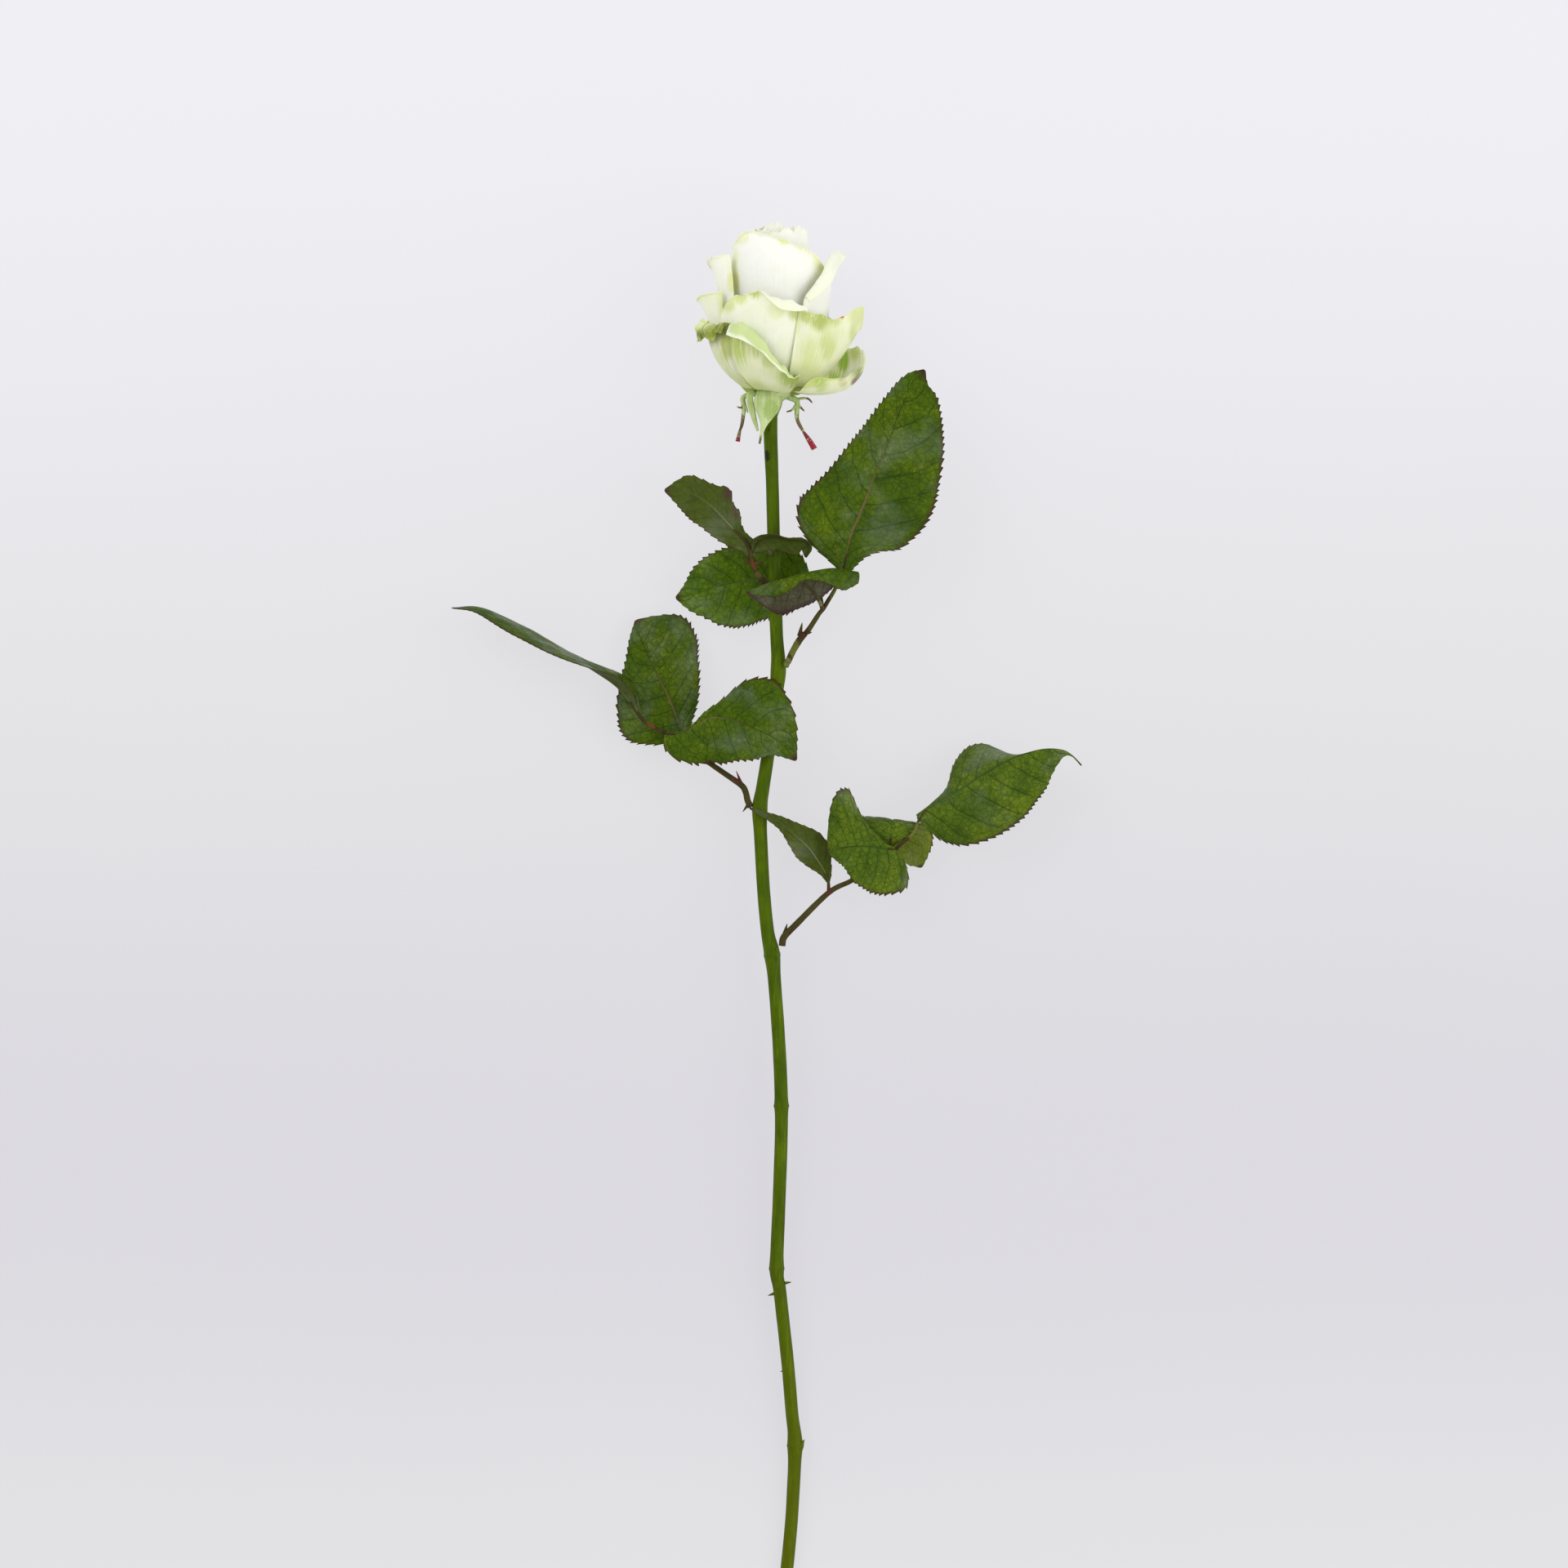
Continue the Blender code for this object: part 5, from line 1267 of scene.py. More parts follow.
@dataclass
class Bloom:
    """The flower: whorls of petals round a wound heart, on an axis that leans a little to the right.

    Lengths are millimetres and angles degrees. The heart's foot and its wound part each have (share of the
    profile's radius at the sheet's first edge, what it gains up to its last edge).
    """

    GUARD = ("guard_face", "guard_inside")
    OUTER = ("petal_outer", "petal_inside")
    CURVE_STEPS = 120
    HEART_ACROSS = 150
    HEART_ROWS = 24
    HEART_WALL = 0.35
    HEART_RIM = 0.5
    HEART_START = 40.0
    HEART_SCALLOP = 0.15
    HEART_SCALLOPS = 40.0
    HEART_FOOT = (0.6, 0.4)
    HEART_WOUND = (0.32, 0.68)
    HEART_WINDS_IN = 5.0

    base: Point = (2.1, 190.0, 28.2)
    lean: float = 2.5
    heart_turns: float = 1.5
    heart_top: Values = (56.0, 58.8, 56.6, 58.0, 56.0)
    curves: dict[Whorl, list[Vector]] = field(init=False)
    petals: tuple[Petal, ...] = (
        Petal("guard_front", Whorl.GUARD, -3, (30, 35, 36, 34, 32), (20.2, 19.0, 11.0, 5.2, 3.6),
              roll=(140, 168, 145, 120, 60), roll_radius=1.9, lip=(3.8, 4.2, 1.6, 0.6, 0), out=1.5,
              scallop=1.0, crinkle=0.3, roll_rows=14, across=56, rounding=1, slot=Slot.GUARD, finishes=GUARD),
        Petal("guard_left", Whorl.GUARD, -84, (27, 38, 44, 43, 42), (18.5, 22.4, 18.4, 19.6, 19.6),
              roll=(30, 50, 165, 185, 150), roll_radius=2.0, lip=(0, 0.2, 2.4, 2.6, 2.0), out=-0.2,
              flare=(1.0, 1.7, 0, 0, 0), ruffle=0.25, scallop=1.2, crinkle=0.3, crumple=1.5, pleat=0.4,
              roll_rows=14, across=56, rounding=1, slot=Slot.GUARD, finishes=("guard_knot", "guard_knot")),
        Petal("guard_right", Whorl.SPREAD, 86, (30, 46, 55, 60, 60), (1.4, 3.2, 8.5, 15.0, 13.5),
              roll=(10, 25, 20, 40, 10), roll_radius=2.0, ruffle=0.2, scallop=0.9, crinkle=0.35, crumple=0.4,
              across=56, rounding=1, slot=Slot.GUARD, finishes=("guard_face", "guard_streaked")),
        Petal("guard_under", Whorl.GUARD, 180, (27, 36, 40, 42, 40), (17.0, 22.0, 23.5, 21.5, 16.0),
              out=4.4, ruffle=0.0, rounding=1, slot=Slot.GUARD, finishes=GUARD),
        Petal("outer_front", Whorl.OUTER, -18, (29, 45, 49, 48, 44), (25.0, 29.8, 31.6, 29.2, 27.0),
              roll=(20, 30, 70, 165, 140), roll_radius=2.0, lip=(0.01, 0, 0.2, 2.2, 0.6), across=56,
              roll_rows=14, scallop=0.8, rounding=1, finishes=OUTER),
        Petal("outer_right", Whorl.OUTER, 64, (22, 43, 47, 46, 44), (26.6, 24.8, 24.0, 29.6, 22.0),
              roll=(45, 15, 15, 20, 40), roll_radius=2.4, flare=(-0.7, -0.3, 0.8, 4.8, 7.6), out=1.5,
              across=56, scallop=0.7, rounding=1, finishes=("petal_green", "petal_inside")),
        Petal("outer_back_right", Whorl.OUTER, 128, (27, 34, 43, 46, 44), (18.0, 22.5, 26.0, 28.0, 26.0),
              roll=(10, 10, 15, 10, 5), out=-0.9, rounding=1, finishes=OUTER),
        Petal("outer_back_left", Whorl.OUTER, -172, (27, 34, 39, 40, 38), (25.0, 28.0, 30.0, 29.0, 25.0),
              roll=(40, 60, 70, 60, 30), out=1.6, rounding=1, finishes=OUTER),
        Petal("outer_left", Whorl.OUTER, -106, (27, 34, 40, 42, 42), (24.0, 27.0, 28.5, 30.6, 32.4),
              roll=(20, 30, 40, 40, 20), flare=(0, 1.2, 6.2, 4.4, 0), flare_power=4.0, out=-1.1, rounding=1,
              finishes=OUTER),
        Petal("middle_left", Whorl.MIDDLE, -108, (34, 42, 52, 53, 48), (36.0, 39.0, 41.6, 44.4, 46.0),
              roll=(35, 50, 60, 40, 10), roll_radius=3.0, flare=(4.0, 6.0, 6.0, 4.4, 1.6), flare_power=3.0,
              scallop=0.5, rounding=1),
        Petal("middle_right", Whorl.MIDDLE, 74, (34, 43, 46, 45, 43), (31.0, 41.5, 48.9, 49.0, 42.0),
              roll=(140, 158, 150, 90, 60), roll_radius=1.4, lip=(1.6, 4.0, 3.8, 1.8, 0), out=0.6,
              flare=(0, 0.3, -0.2, -0.8, -0.8), scallop=0.5, across=56, roll_rows=16, rounding=1),
        Petal("middle_front", Whorl.MIDDLE, -14, (34, 40, 46, 48, 44), (22.0, 26.5, 28.0, 26.5, 21.0),
              roll=(15, 15, 15, 15, 15), out=-1.2),
        Petal("middle_back", Whorl.MIDDLE, 172, (34, 38, 44, 47, 44), (34.0, 39.0, 41.0, 39.0, 34.0),
              roll=(20, 40, 50, 20, 5), out=-1.3, ruffle=0.15, rounding=1),
        Petal("bud_front", Whorl.BUD, -5, (26, 57, 77, 82, 80), (48.6, 54.4, 52.2, 48.4, 42.5),
              roll=(50, 80, 70, 80, 60), roll_radius=1.5, ruffle=0.1, scallop=0.5, across=60, rows=34,
              rounding=1, finishes=("bud_face", "petal_inside")),
        Petal("bud_right", Whorl.BUD, 118, (26, 32, 50, 57, 52), (38.0, 41.0, 44.0, 46.0, 45.0), out=-2.1,
              roll=(5, 5, 5, 5, 5), ruffle=0.1),
        Petal("bud_back", Whorl.BUD, 180, (26, 30, 44, 50, 46), (44.0, 51.0, 53.0, 51.0, 45.0), out=-0.3,
              ruffle=0.1, rounding=1),
        Petal("bud_left", Whorl.BUD, -122, (26, 32, 50, 56, 52), (46.0, 51.0, 53.0, 52.0, 47.0), out=-2.05,
              roll=(5, 5, 5, 5, 5), ruffle=0.1),
        Petal("inner_1", Whorl.INNER, 30, (36, 44, 56, 56, 52), (53.0, 56.0, 56.2, 57.4, 55.4), ruffle=0.2,
              scallop=1.2, rounding=1),
        Petal("inner_2", Whorl.INNER, 122, (36, 44, 56, 56, 52), (52.0, 55.0, 56.0, 55.0, 53.0),
              roll=(5, 5, 5, 5, 5), out=-1.4, ruffle=0.1),
        Petal("inner_3", Whorl.INNER, -145, (36, 44, 56, 56, 52), (53.0, 56.5, 57.0, 56.5, 54.0), ruffle=0.2,
              scallop=1.2),
        Petal("inner_4", Whorl.INNER, -58, (36, 44, 56, 56, 52), (52.0, 55.0, 56.0, 56.0, 54.0),
              roll=(5, 5, 5, 5, 5), out=-1.4, ruffle=0.1, scallop=1.0),
        Petal("core_1", Whorl.CORE, -20, (48, 58, 69, 69, 64), (54.0, 57.0, 58.6, 56.6, 54.6),
              roll=(5, 5, 5, 5, 5), ruffle=0.1, scallop=0.9),
        Petal("core_2", Whorl.CORE, 102, (48, 56, 65, 66, 60), (54.0, 57.0, 58.0, 57.0, 54.0),
              roll=(5, 5, 5, 5, 5), out=-1.05, ruffle=0.05),
        Petal("core_3", Whorl.CORE, -140, (48, 58, 67, 66, 60), (54.0, 57.0, 57.5, 57.0, 54.0),
              roll=(0, 0, 0, 0, 0), out=-1.95, ruffle=0.05),
    )

    def __post_init__(self) -> None:
        """Cuts each whorl's profile into even steps."""
        self.curves = {whorl: Route([(r, h, 0.0) for r, h in whorl.value], self.CURVE_STEPS).points
                       for whorl in Whorl}

    def point(self, radius: float, height: float, turn: float, sideways: float = 0.0) -> Vector:
        """A point of the bloom.

        Args:
            radius: how far it is from the bloom's axis.
            height: how far up the axis it is.
            turn: its turn in degrees.
            sideways: moves it to the right before the bloom leans.

        Returns:
            The point, in millimetres.
        """
        x = radius * math.sin(math.radians(turn)) + sideways
        z = radius * math.cos(math.radians(turn))
        lean = math.radians(self.lean)
        sine, cosine = math.sin(lean), math.cos(lean)
        return Vector(self.base) + Vector((x * cosine + height * sine, height * cosine - x * sine, z))

    def column(self, petal: Petal, u: float) -> list[Vector]:
        """One line of a petal from its claw to its rim.

        Args:
            petal: the petal.
            u: which line, from -1 at its left edge to 1 at its right.

        Returns:
            The line's points.
        """
        curve = self.curves[petal.whorl]
        step = (curve[1] - curve[0]).length
        across = (u + 1) / 2
        notch = petal.notch(u)
        height = smooth_value(petal.rim, across) + petal.scallop * petal.RIM_SCALLOP * notch
        top = len(curve) - 1
        while top > 1 and curve[top - 1].y >= height:
            top -= 1
        share = (height - curve[top - 1].y) / max(curve[top].y - curve[top - 1].y, 1e-6)
        reach = top - 1 + min(max(share, 0.0), 1.0)
        roll = smooth_value(petal.roll, across)
        arc = max(petal.roll_radius * math.radians(roll), petal.LEAST_ARC)
        lip = smooth_value(petal.lip, across)
        if petal.lip[0]:
            lip += petal.scallop * petal.LIP_SCALLOP * notch
        lip = max(lip, 0.0)
        flare = smooth_value(petal.flare, across)
        whole = reach * step + arc + lip
        points: list[Vector] = []
        for i in range(petal.rows + petal.roll_rows + 1):
            extra = 0.0
            place = reach * (min(i, petal.rows) / petal.rows) ** petal.ROW_CROWDING
            if i > petal.rows:
                extra = (arc + lip) * (i - petal.rows) / petal.roll_rows
            k = min(int(place), len(curve) - 2)
            spot = curve[k].lerp(curve[k + 1], place - k)
            v = (place * step + extra) / whole
            rise = place / reach
            ahead = (curve[k + 1] - curve[k]).normalized()
            shift = petal.out * min(1.0, rise / petal.OUT_BY)
            radius = spot.x + shift * ahead.y + flare * rise ** petal.flare_power
            level = spot.y - shift * ahead.x
            if extra:
                lead = math.atan2(ahead.y, ahead.x + petal.flare_power * flare / (reach * step))
                bent = min(extra, arc)
                run, up = arc_run(bent, math.degrees(lead), -roll * bent / arc)
                last = lead - math.radians(roll)
                radius += run + (extra - bent) * math.cos(last)
                level += up + (extra - bent) * math.sin(last)
            turn = petal.turn + u * smooth_value(petal.half_width, v)
            flat = self.point(radius, level, turn)
            wave = petal.wave(u, v, flat)
            if extra:
                push, lift = petal.crumpling(flat, extra)
                wave += push
                level += lift
            points.append(self.point(radius + wave, level, turn))
        return points

    def petal(self, petal: Petal) -> Piece:
        """Makes one petal with its wall.

        Args:
            petal: the petal.

        Returns:
            The piece.
        """
        columns = [self.column(petal, 2 * j / petal.across - 1) for j in range(petal.across + 1)]
        rows = petal.rows + petal.roll_rows
        piece = Bench.sheet(f"bloom.{petal.name}", petal.across, rows)
        Bench.lay(piece, [[line[i] for line in columns] for i in range(rows + 1)])
        Bench.wall(piece, petal.wall, petal.RIM, petal.rounding)
        return piece

    def heart(self) -> Piece:
        """Makes the wound heart: one sheet that turns round itself.

        Returns:
            The piece.
        """
        across, rows = self.HEART_ACROSS, self.HEART_ROWS
        curve, full_height = self.curves[Whorl.HEART], Whorl.HEART.value[-1][1]
        grid: list[list[Vector]] = []
        for i in range(rows + 1):
            row: list[Vector] = []
            for j in range(across + 1):
                u = j / across
                notch = self.HEART_SCALLOP * math.sin(self.HEART_SCALLOPS * u)
                height = smooth_value(self.heart_top, u) + notch
                place = (len(curve) - 1) * min(1.0, (i / rows) * height / full_height)
                k = min(int(place), len(curve) - 2)
                spot = curve[k].lerp(curve[k + 1], place - k)
                first = self.HEART_FOOT[0] + self.HEART_FOOT[1] * u
                last = self.HEART_WOUND[0] + self.HEART_WOUND[1] * u
                wound = first + (last - first) * min(1.0, self.HEART_WINDS_IN * i / rows)
                row.append(self.point(spot.x * wound, spot.y, 360 * self.heart_turns * u + self.HEART_START))
            grid.append(row)
        piece = Bench.sheet("bloom.heart", across, rows)
        Bench.lay(piece, grid)
        Bench.wall(piece, self.HEART_WALL, self.HEART_RIM)
        return piece

    @staticmethod
    def press_flat(piece: Piece) -> None:
        """Presses a petal flat where it rests on the floor.

        Args:
            piece: the petal.
        """
        for vertex in piece.data.vertices:
            vertex.co.z = max(vertex.co.z, 0.0)
        piece.data.update()

    def build(self, paint: Paint) -> None:
        """Makes every petal and lets it stand for its solid.

        Args:
            paint: the finishes by name.
        """
        for petal in self.petals:
            piece = self.petal(petal)
            self.press_flat(piece)
            Bench.seat(piece, f"petal_{petal.name}", petal.slot, [paint[name] for name in petal.finishes])
        Bench.seat(self.heart(), "petal_heart", Slot.PETAL, [paint["petal_cream"], paint["petal_inside"]])


@dataclass(frozen=True)
class Twig:
    """A tapering shoot: its route and its radius at both ends, in millimetres."""

    LENGTH_STEPS = 8
    LEAST_RINGS = 6
    SIDES = 3
    UNEVEN_PITCH = 2.0
    UNEVEN_SEED = 5.0
    POINTED_UNDER = 0.4
    TIP_END = 1.02
    TIP_SHARPNESS = 14

    route: tuple[Point, ...]
    first: float
    last: float

    def build(self, name: str, step: float = 0.8, uneven: float = 0.05) -> Piece:
        """Makes the shoot.

        Args:
            name: the piece's name.
            step: how far apart its rings are, in millimetres.
            uneven: how uneven it is, as a share of its radius.

        Returns:
            The shoot, with a pointed tip where its last radius is small.
        """
        count = max(self.LEAST_RINGS, round(Route(self.route, self.LENGTH_STEPS).length / step))
        line = Route(self.route, count).points
        radii: list[float] = []
        for k, point in enumerate(line):
            t = k / count
            radius = self.first + (self.last - self.first) * t
            radius *= 1 + uneven * soft_noise(point, self.UNEVEN_PITCH, self.UNEVEN_SEED)
            if self.last < self.POINTED_UNDER:
                radius *= min(1.0, (self.TIP_END - t) * self.TIP_SHARPNESS)
            radii.append(radius)
        return Bench.rod(name, line, radii, self.SIDES)


@dataclass(frozen=True)
class Hook:
    """A prickle or the free tip of a stipule: where it grows from, its point and its radius at the root."""

    SAG = 0.15
    STEPS = 9
    TAPER = 0.8
    TIP_RADIUS = 0.05
    SIDES = 2

    root: Point
    tip: Point
    radius: float = 0.6

    def build(self, name: str) -> Piece:
        """Makes the hook.

        Args:
            name: the piece's name.

        Returns:
            The hook.
        """
        start, end = Vector(self.root), Vector(self.tip)
        middle = start.lerp(end, 0.5) + Vector((0, 0, -self.SAG * (end - start).length))
        line = Route([start, middle, end], self.STEPS).points
        shares = [(1 - k / self.STEPS) ** self.TAPER for k in range(self.STEPS + 1)]
        return Bench.rod(name, line, [self.radius * share + self.TIP_RADIUS for share in shares], self.SIDES)


@dataclass(frozen=True)
class Bud:
    """A sleeping bud that points up the stem: where it sits, its point and its radius."""

    FORM = (0.15, 0.5, 0.78, 0.95, 1.0, 1.0, 0.97, 0.9, 0.8, 0.68, 0.54, 0.4, 0.26, 0.14, 0.03)
    SUNK = 0.6
    SIDES = 4

    root: Point
    tip: Point
    radius: float

    def build(self, name: str) -> Piece:
        """Makes the bud, with its foot sunk into the stem.

        Args:
            name: the piece's name.

        Returns:
            The bud.
        """
        start, end = Vector(self.root), Vector(self.tip)
        behind = start - (end - start) * self.SUNK
        line = Route([behind, start, end], len(self.FORM) - 1).points
        return Bench.rod(name, line, [self.radius * share for share in self.FORM], self.SIDES)


@dataclass(frozen=True)
class Stalk:
    """A leaf stalk with its branches and the free tips of its stipules."""

    name: str
    tubes: tuple[Twig, ...]
    hooks: tuple[Hook, ...]

    def build(self) -> Piece:
        """Makes the stalk.

        Returns:
            The stalk.
        """
        parts = [twig.build(f"{self.name}_{n}") for n, twig in enumerate(self.tubes)]
        parts += [hook.build(f"{self.name}_hook_{n}") for n, hook in enumerate(self.hooks)]
        return Bench.joined(f"stalk.{self.name}", parts)


@dataclass(frozen=True)
class Stalks:
    """The four leaf stalks."""

    stalks: tuple[Stalk, ...] = (
        Stalk("upper",
              (Twig(((0.1, 116.6, 25.6), (-2.4, 119.4, 26.4), (-4.4, 122.4, 27.2), (-5.9, 126.0, 27.8),
                     (-6.5, 129.4, 28.3), (-8.2, 133.3, 28.9), (-12.4, 137.5, 29.5)), 1.3, 0.45),
               Twig(((-6.2, 128.0, 28.1), (-5.6, 130.2, 28.8), (-3.9, 132.4, 29.9)), 0.7, 0.45),
               Twig(((-5.4, 125.0, 27.7), (-6.4, 125.8, 28.3), (-7.4, 125.7, 28.8), (-8.2, 124.4, 29.1)),
                    0.7, 0.3),
               Twig(((-5.0, 124.4, 27.6), (-3.6, 125.2, 28.4), (-2.6, 125.4, 28.9), (-1.8, 124.4, 29.2)),
                    0.7, 0.3)),
              (Hook((-6.8, 126.4, 27.9), (-9.5, 128.4, 28.9), 0.5),)),
        Stalk("a",
              (Twig(((6.5, 87.2, 24.3), (7.8, 89.8, 24.7), (9.2, 92.8, 25.0), (11.8, 97.2, 25.5),
                     (14.6, 100.2, 25.9), (16.8, 103.4, 26.4), (19.0, 106.8, 27.0), (20.4, 108.4, 27.2),
                     (22.2, 111.4, 27.3), (24.5, 115.2, 27.6), (27.0, 121.0, 28.2), (28.0, 123.9, 28.9),
                     (29.0, 128.2, 30.0)), 1.15, 0.55),
               Twig(((7.4, 88.8, 24.8), (9.3, 92.9, 25.4), (11.6, 96.8, 26.0), (13.6, 99.4, 26.3)),
                    1.2, 1.25),
               Twig(((20.2, 108.2, 27.2), (19.2, 110.6, 31.2), (17.2, 113.8, 35.2), (15.2, 116.0, 37.2),
                     (13.4, 117.4, 38.2)), 0.8, 0.6),
               Twig(((20.0, 108.2, 27.2), (19.6, 112.0, 24.0), (18.6, 115.6, 20.4), (16.8, 117.8, 17.6),
                     (13.4, 118.3, 16.9)), 0.8, 0.5)),
              (Hook((11.7, 98.4, 26.4), (12.7, 103.4, 27.8), 0.9),
               Hook((14.0, 99.4, 26.4), (16.3, 99.8, 27.4), 0.7))),
        Stalk("b",
              (Twig(((-6.3, 35.7, 16.6), (-7.4, 38.1, 17.0), (-8.1, 41.1, 17.2), (-9.6, 43.6, 17.2),
                     (-15.0, 47.4, 16.6), (-19.8, 50.7, 16.0), (-28.5, 56.6, 15.4), (-37.0, 62.3, 15.8),
                     (-44.4, 66.4, 16.4), (-47.5, 69.7, 17.1), (-50.6, 74.2, 17.8)), 1.2, 0.6),
               Twig(((-28.8, 56.8, 15.3), (-30.2, 58.4, 13.8), (-30.7, 60.0, 12.4), (-31.7, 63.4, 11.5)),
                    0.8, 0.5),
               Twig(((-37.0, 62.3, 15.9), (-37.2, 62.5, 18.2), (-34.2, 62.6, 19.3)), 0.8, 0.5)),
              (Hook((-9.2, 43.0, 17.4), (-11.6, 49.0, 18.4), 0.7),
               Hook((-7.2, 36.6, 17.0), (-9.2, 33.8, 17.8), 0.6))),
        Stalk("c",
              (Twig(((5.3, -15.4, 14.4), (6.0, -12.2, 14.8), (10.2, -7.8, 15.6), (22.5, 4.2, 17.2),
                     (30.9, 8.6, 18.2), (38.5, 13.6, 19.0), (45.6, 19.0, 20.4), (49.6, 22.4, 21.1),
                     (53.6, 26.2, 21.6), (55.4, 30.4, 22.3), (58.0, 34.6, 23.6)), 1.3, 0.5),
               Twig(((22.4, 4.1, 17.2), (22.3, 8.2, 18.8), (21.4, 11.2, 19.5)), 0.7, 0.45),
               Twig(((45.4, 18.8, 20.4), (46.5, 20.0, 23.3), (44.6, 20.4, 24.3)), 0.7, 0.5),
               Twig(((44.6, 18.2, 20.2), (45.1, 21.0, 19.1), (45.2, 24.4, 20.3)), 0.7, 0.5)),
              (Hook((6.0, -11.6, 14.8), (7.2, -7.2, 16.6), 0.8),
               Hook((9.0, -8.8, 15.6), (12.0, -5.0, 17.4), 0.6))),
    )

    def build(self, paint: Paint) -> None:
        """Makes every stalk and lets it stand for its solid."""
        for stalk in self.stalks:
            Bench.seat(stalk.build(), f"stalk_{stalk.name}", Slot.STALK, [paint["stalk"]])


@dataclass(frozen=True)
class Node:
    """A swelling of the stem: where it is along Y, how much it adds to the radius and how long it is."""

    y: float
    growth: float
    length: float

    def at(self, y: float) -> float:
        """How much it adds to the radius at y."""
        return self.growth * math.exp(-((y - self.y) / self.length) ** 2)


@dataclass(frozen=True)
class Stem:
    """The stem from the bloom down to its cut end. Its route gives (x, y, z, radius), in millimetres."""

    RINGS = 620
    SIDES = 7
    UNEVEN = 0.018
    UNEVEN_PITCH = 7.0
    UNEVEN_SEED = 3.0
    CUT_BLEND = 0.8

    cut_lean: float = 0.45
    route: tuple[tuple[float, float, float, float], ...] = (
        (1.1, 181.5, 28.1, 2.6), (1.1, 171.0, 27.4, 2.55), (1.7, 154.8, 26.2, 2.35),
        (2.2, 134.1, 24.6, 2.35), (2.7, 114.6, 23.0, 2.4), (3.3, 98.7, 21.6, 2.4), (3.9, 85.5, 20.5, 2.5),
        (2.1, 69.6, 19.1, 2.4), (-0.2, 52.8, 17.5, 2.4), (-1.8, 42.6, 16.5, 2.45), (-2.9, 34.8, 15.9, 2.5),
        (-2.4, 21.0, 15.1, 2.4), (-1.4, 3.6, 14.1, 2.4), (0.0, -10.5, 13.3, 2.45), (1.6, -18.6, 12.9, 2.5),
        (2.7, -30.9, 12.4, 2.4), (4.05, -49.8, 11.6, 2.4), (4.9, -68.4, 10.5, 2.45),
        (5.0, -84.9, 9.6, 2.4), (4.1, -111.9, 8.3, 2.4), (3.3, -134.1, 7.0, 2.5), (4.35, -141.9, 6.6, 2.4),
        (5.7, -153.9, 6.1, 2.36), (7.5, -170.7, 5.5, 2.36), (8.9, -187.5, 5.0, 2.36),
        (10.05, -199.5, 4.6, 2.45), (9.15, -221.4, 3.5, 2.36), (8.2, -234.0, 2.9, 2.36),
        (6.6, -250.0, 2.5, 2.36),
    )
    nodes: tuple[Node, ...] = (
        Node(85.5, 0.35, 5.0), Node(34.8, 0.4, 5.0), Node(-18.6, 0.45, 5.0), Node(-74.4, 0.25, 2.2),
        Node(-134.1, 0.25, 3.0), Node(-199.5, 0.4, 4.0), Node(117.0, 0.15, 4.0),
    )
    scars: tuple[Node, ...] = (
        Node(-18.9, 0.22, 0.5), Node(-74.4, 0.22, 0.5), Node(-134.4, 0.22, 0.5), Node(-199.8, 0.22, 0.5),
    )
    buds: tuple[Bud, ...] = (
        Bud((2.9, -19.4, 14.6), (3.2, -16.2, 15.8), 1.5),
        Bud((3.2, -135.2, 8.4), (3.1, -132.4, 9.4), 1.2),
        Bud((11.6, -200.6, 5.2), (13.6, -197.4, 6.0), 1.5),
        Bud((3.9, -75.0, 11.8), (4.0, -73.2, 12.6), 0.8),
    )
    prickles: tuple[Hook, ...] = (
        Hook((2.6, -143.6, 7.1), (0.0, -144.4, 7.7)),
        Hook((6.2, -139.8, 7.3), (8.7, -139.4, 8.1)),
        Hook((4.6, -60.0, 9.6), (5.2, -60.4, 7.4)),
        Hook((6.6, -172.0, 4.4), (4.6, -172.6, 3.0)),
    )

    def radius(self, point: Vector) -> float:
        """The stem's radius at a point of its centre line.

        Args:
            point: the point.

        Returns:
            The radius, in millimetres.
        """
        found = self.route[-1][3]
        for (_, y1, _, r1), (_, y2, _, r2) in zip(self.route, self.route[1:]):
            if y2 <= point.y <= y1:
                found = r1 + (r2 - r1) * (y1 - point.y) / (y1 - y2)
                break
        swell = sum(node.at(point.y) for node in self.nodes)
        scar = sum(node.at(point.y) for node in self.scars)
        uneven = self.UNEVEN * soft_noise(point, self.UNEVEN_PITCH, self.UNEVEN_SEED)
        return (found + swell + scar) * (1 + uneven)

    def slant(self, shaft: Piece, end: Vector) -> None:
        """Slants the cut end.

        Args:
            shaft: the shaft.
            end: the last point of its centre line.
        """
        start = end.y + self.CUT_BLEND
        for vertex in shaft.data.vertices:
            place = vertex.co / MM
            if place.y < start:
                vertex.co.y += (self.cut_lean * (place.x - end.x) * MM
                                * min(1.0, (start - place.y) / self.CUT_BLEND))

    def build(self, paint: Paint) -> None:
        """Makes the stem and lets it stand for its solid.

        Args:
            paint: the finishes by name.
        """
        line = Route(self.route, self.RINGS).points
        shaft = Bench.rod("shaft", line, [self.radius(point) for point in line], self.SIDES)
        self.slant(shaft, line[-1])
        parts = [shaft]
        parts += [bud.build(f"bud_{n}") for n, bud in enumerate(self.buds)]
        parts += [prickle.build(f"prickle_{n}") for n, prickle in enumerate(self.prickles)]
        Bench.seat(Bench.joined("stem.shaft", parts), "stem", Slot.STEM, [paint["stem"]])


@dataclass(frozen=True)
class Sepal(Blade):
    """A sepal: a blade with a smooth margin and little relief."""

    sweep_left: Values = (0, 0)
    sweep_right: Values = (0, 0)
    wave: float = 0.0
    tooth: float = 0.0
    relief: float = 0.3
    wall: float = 0.6
    across: int = 12


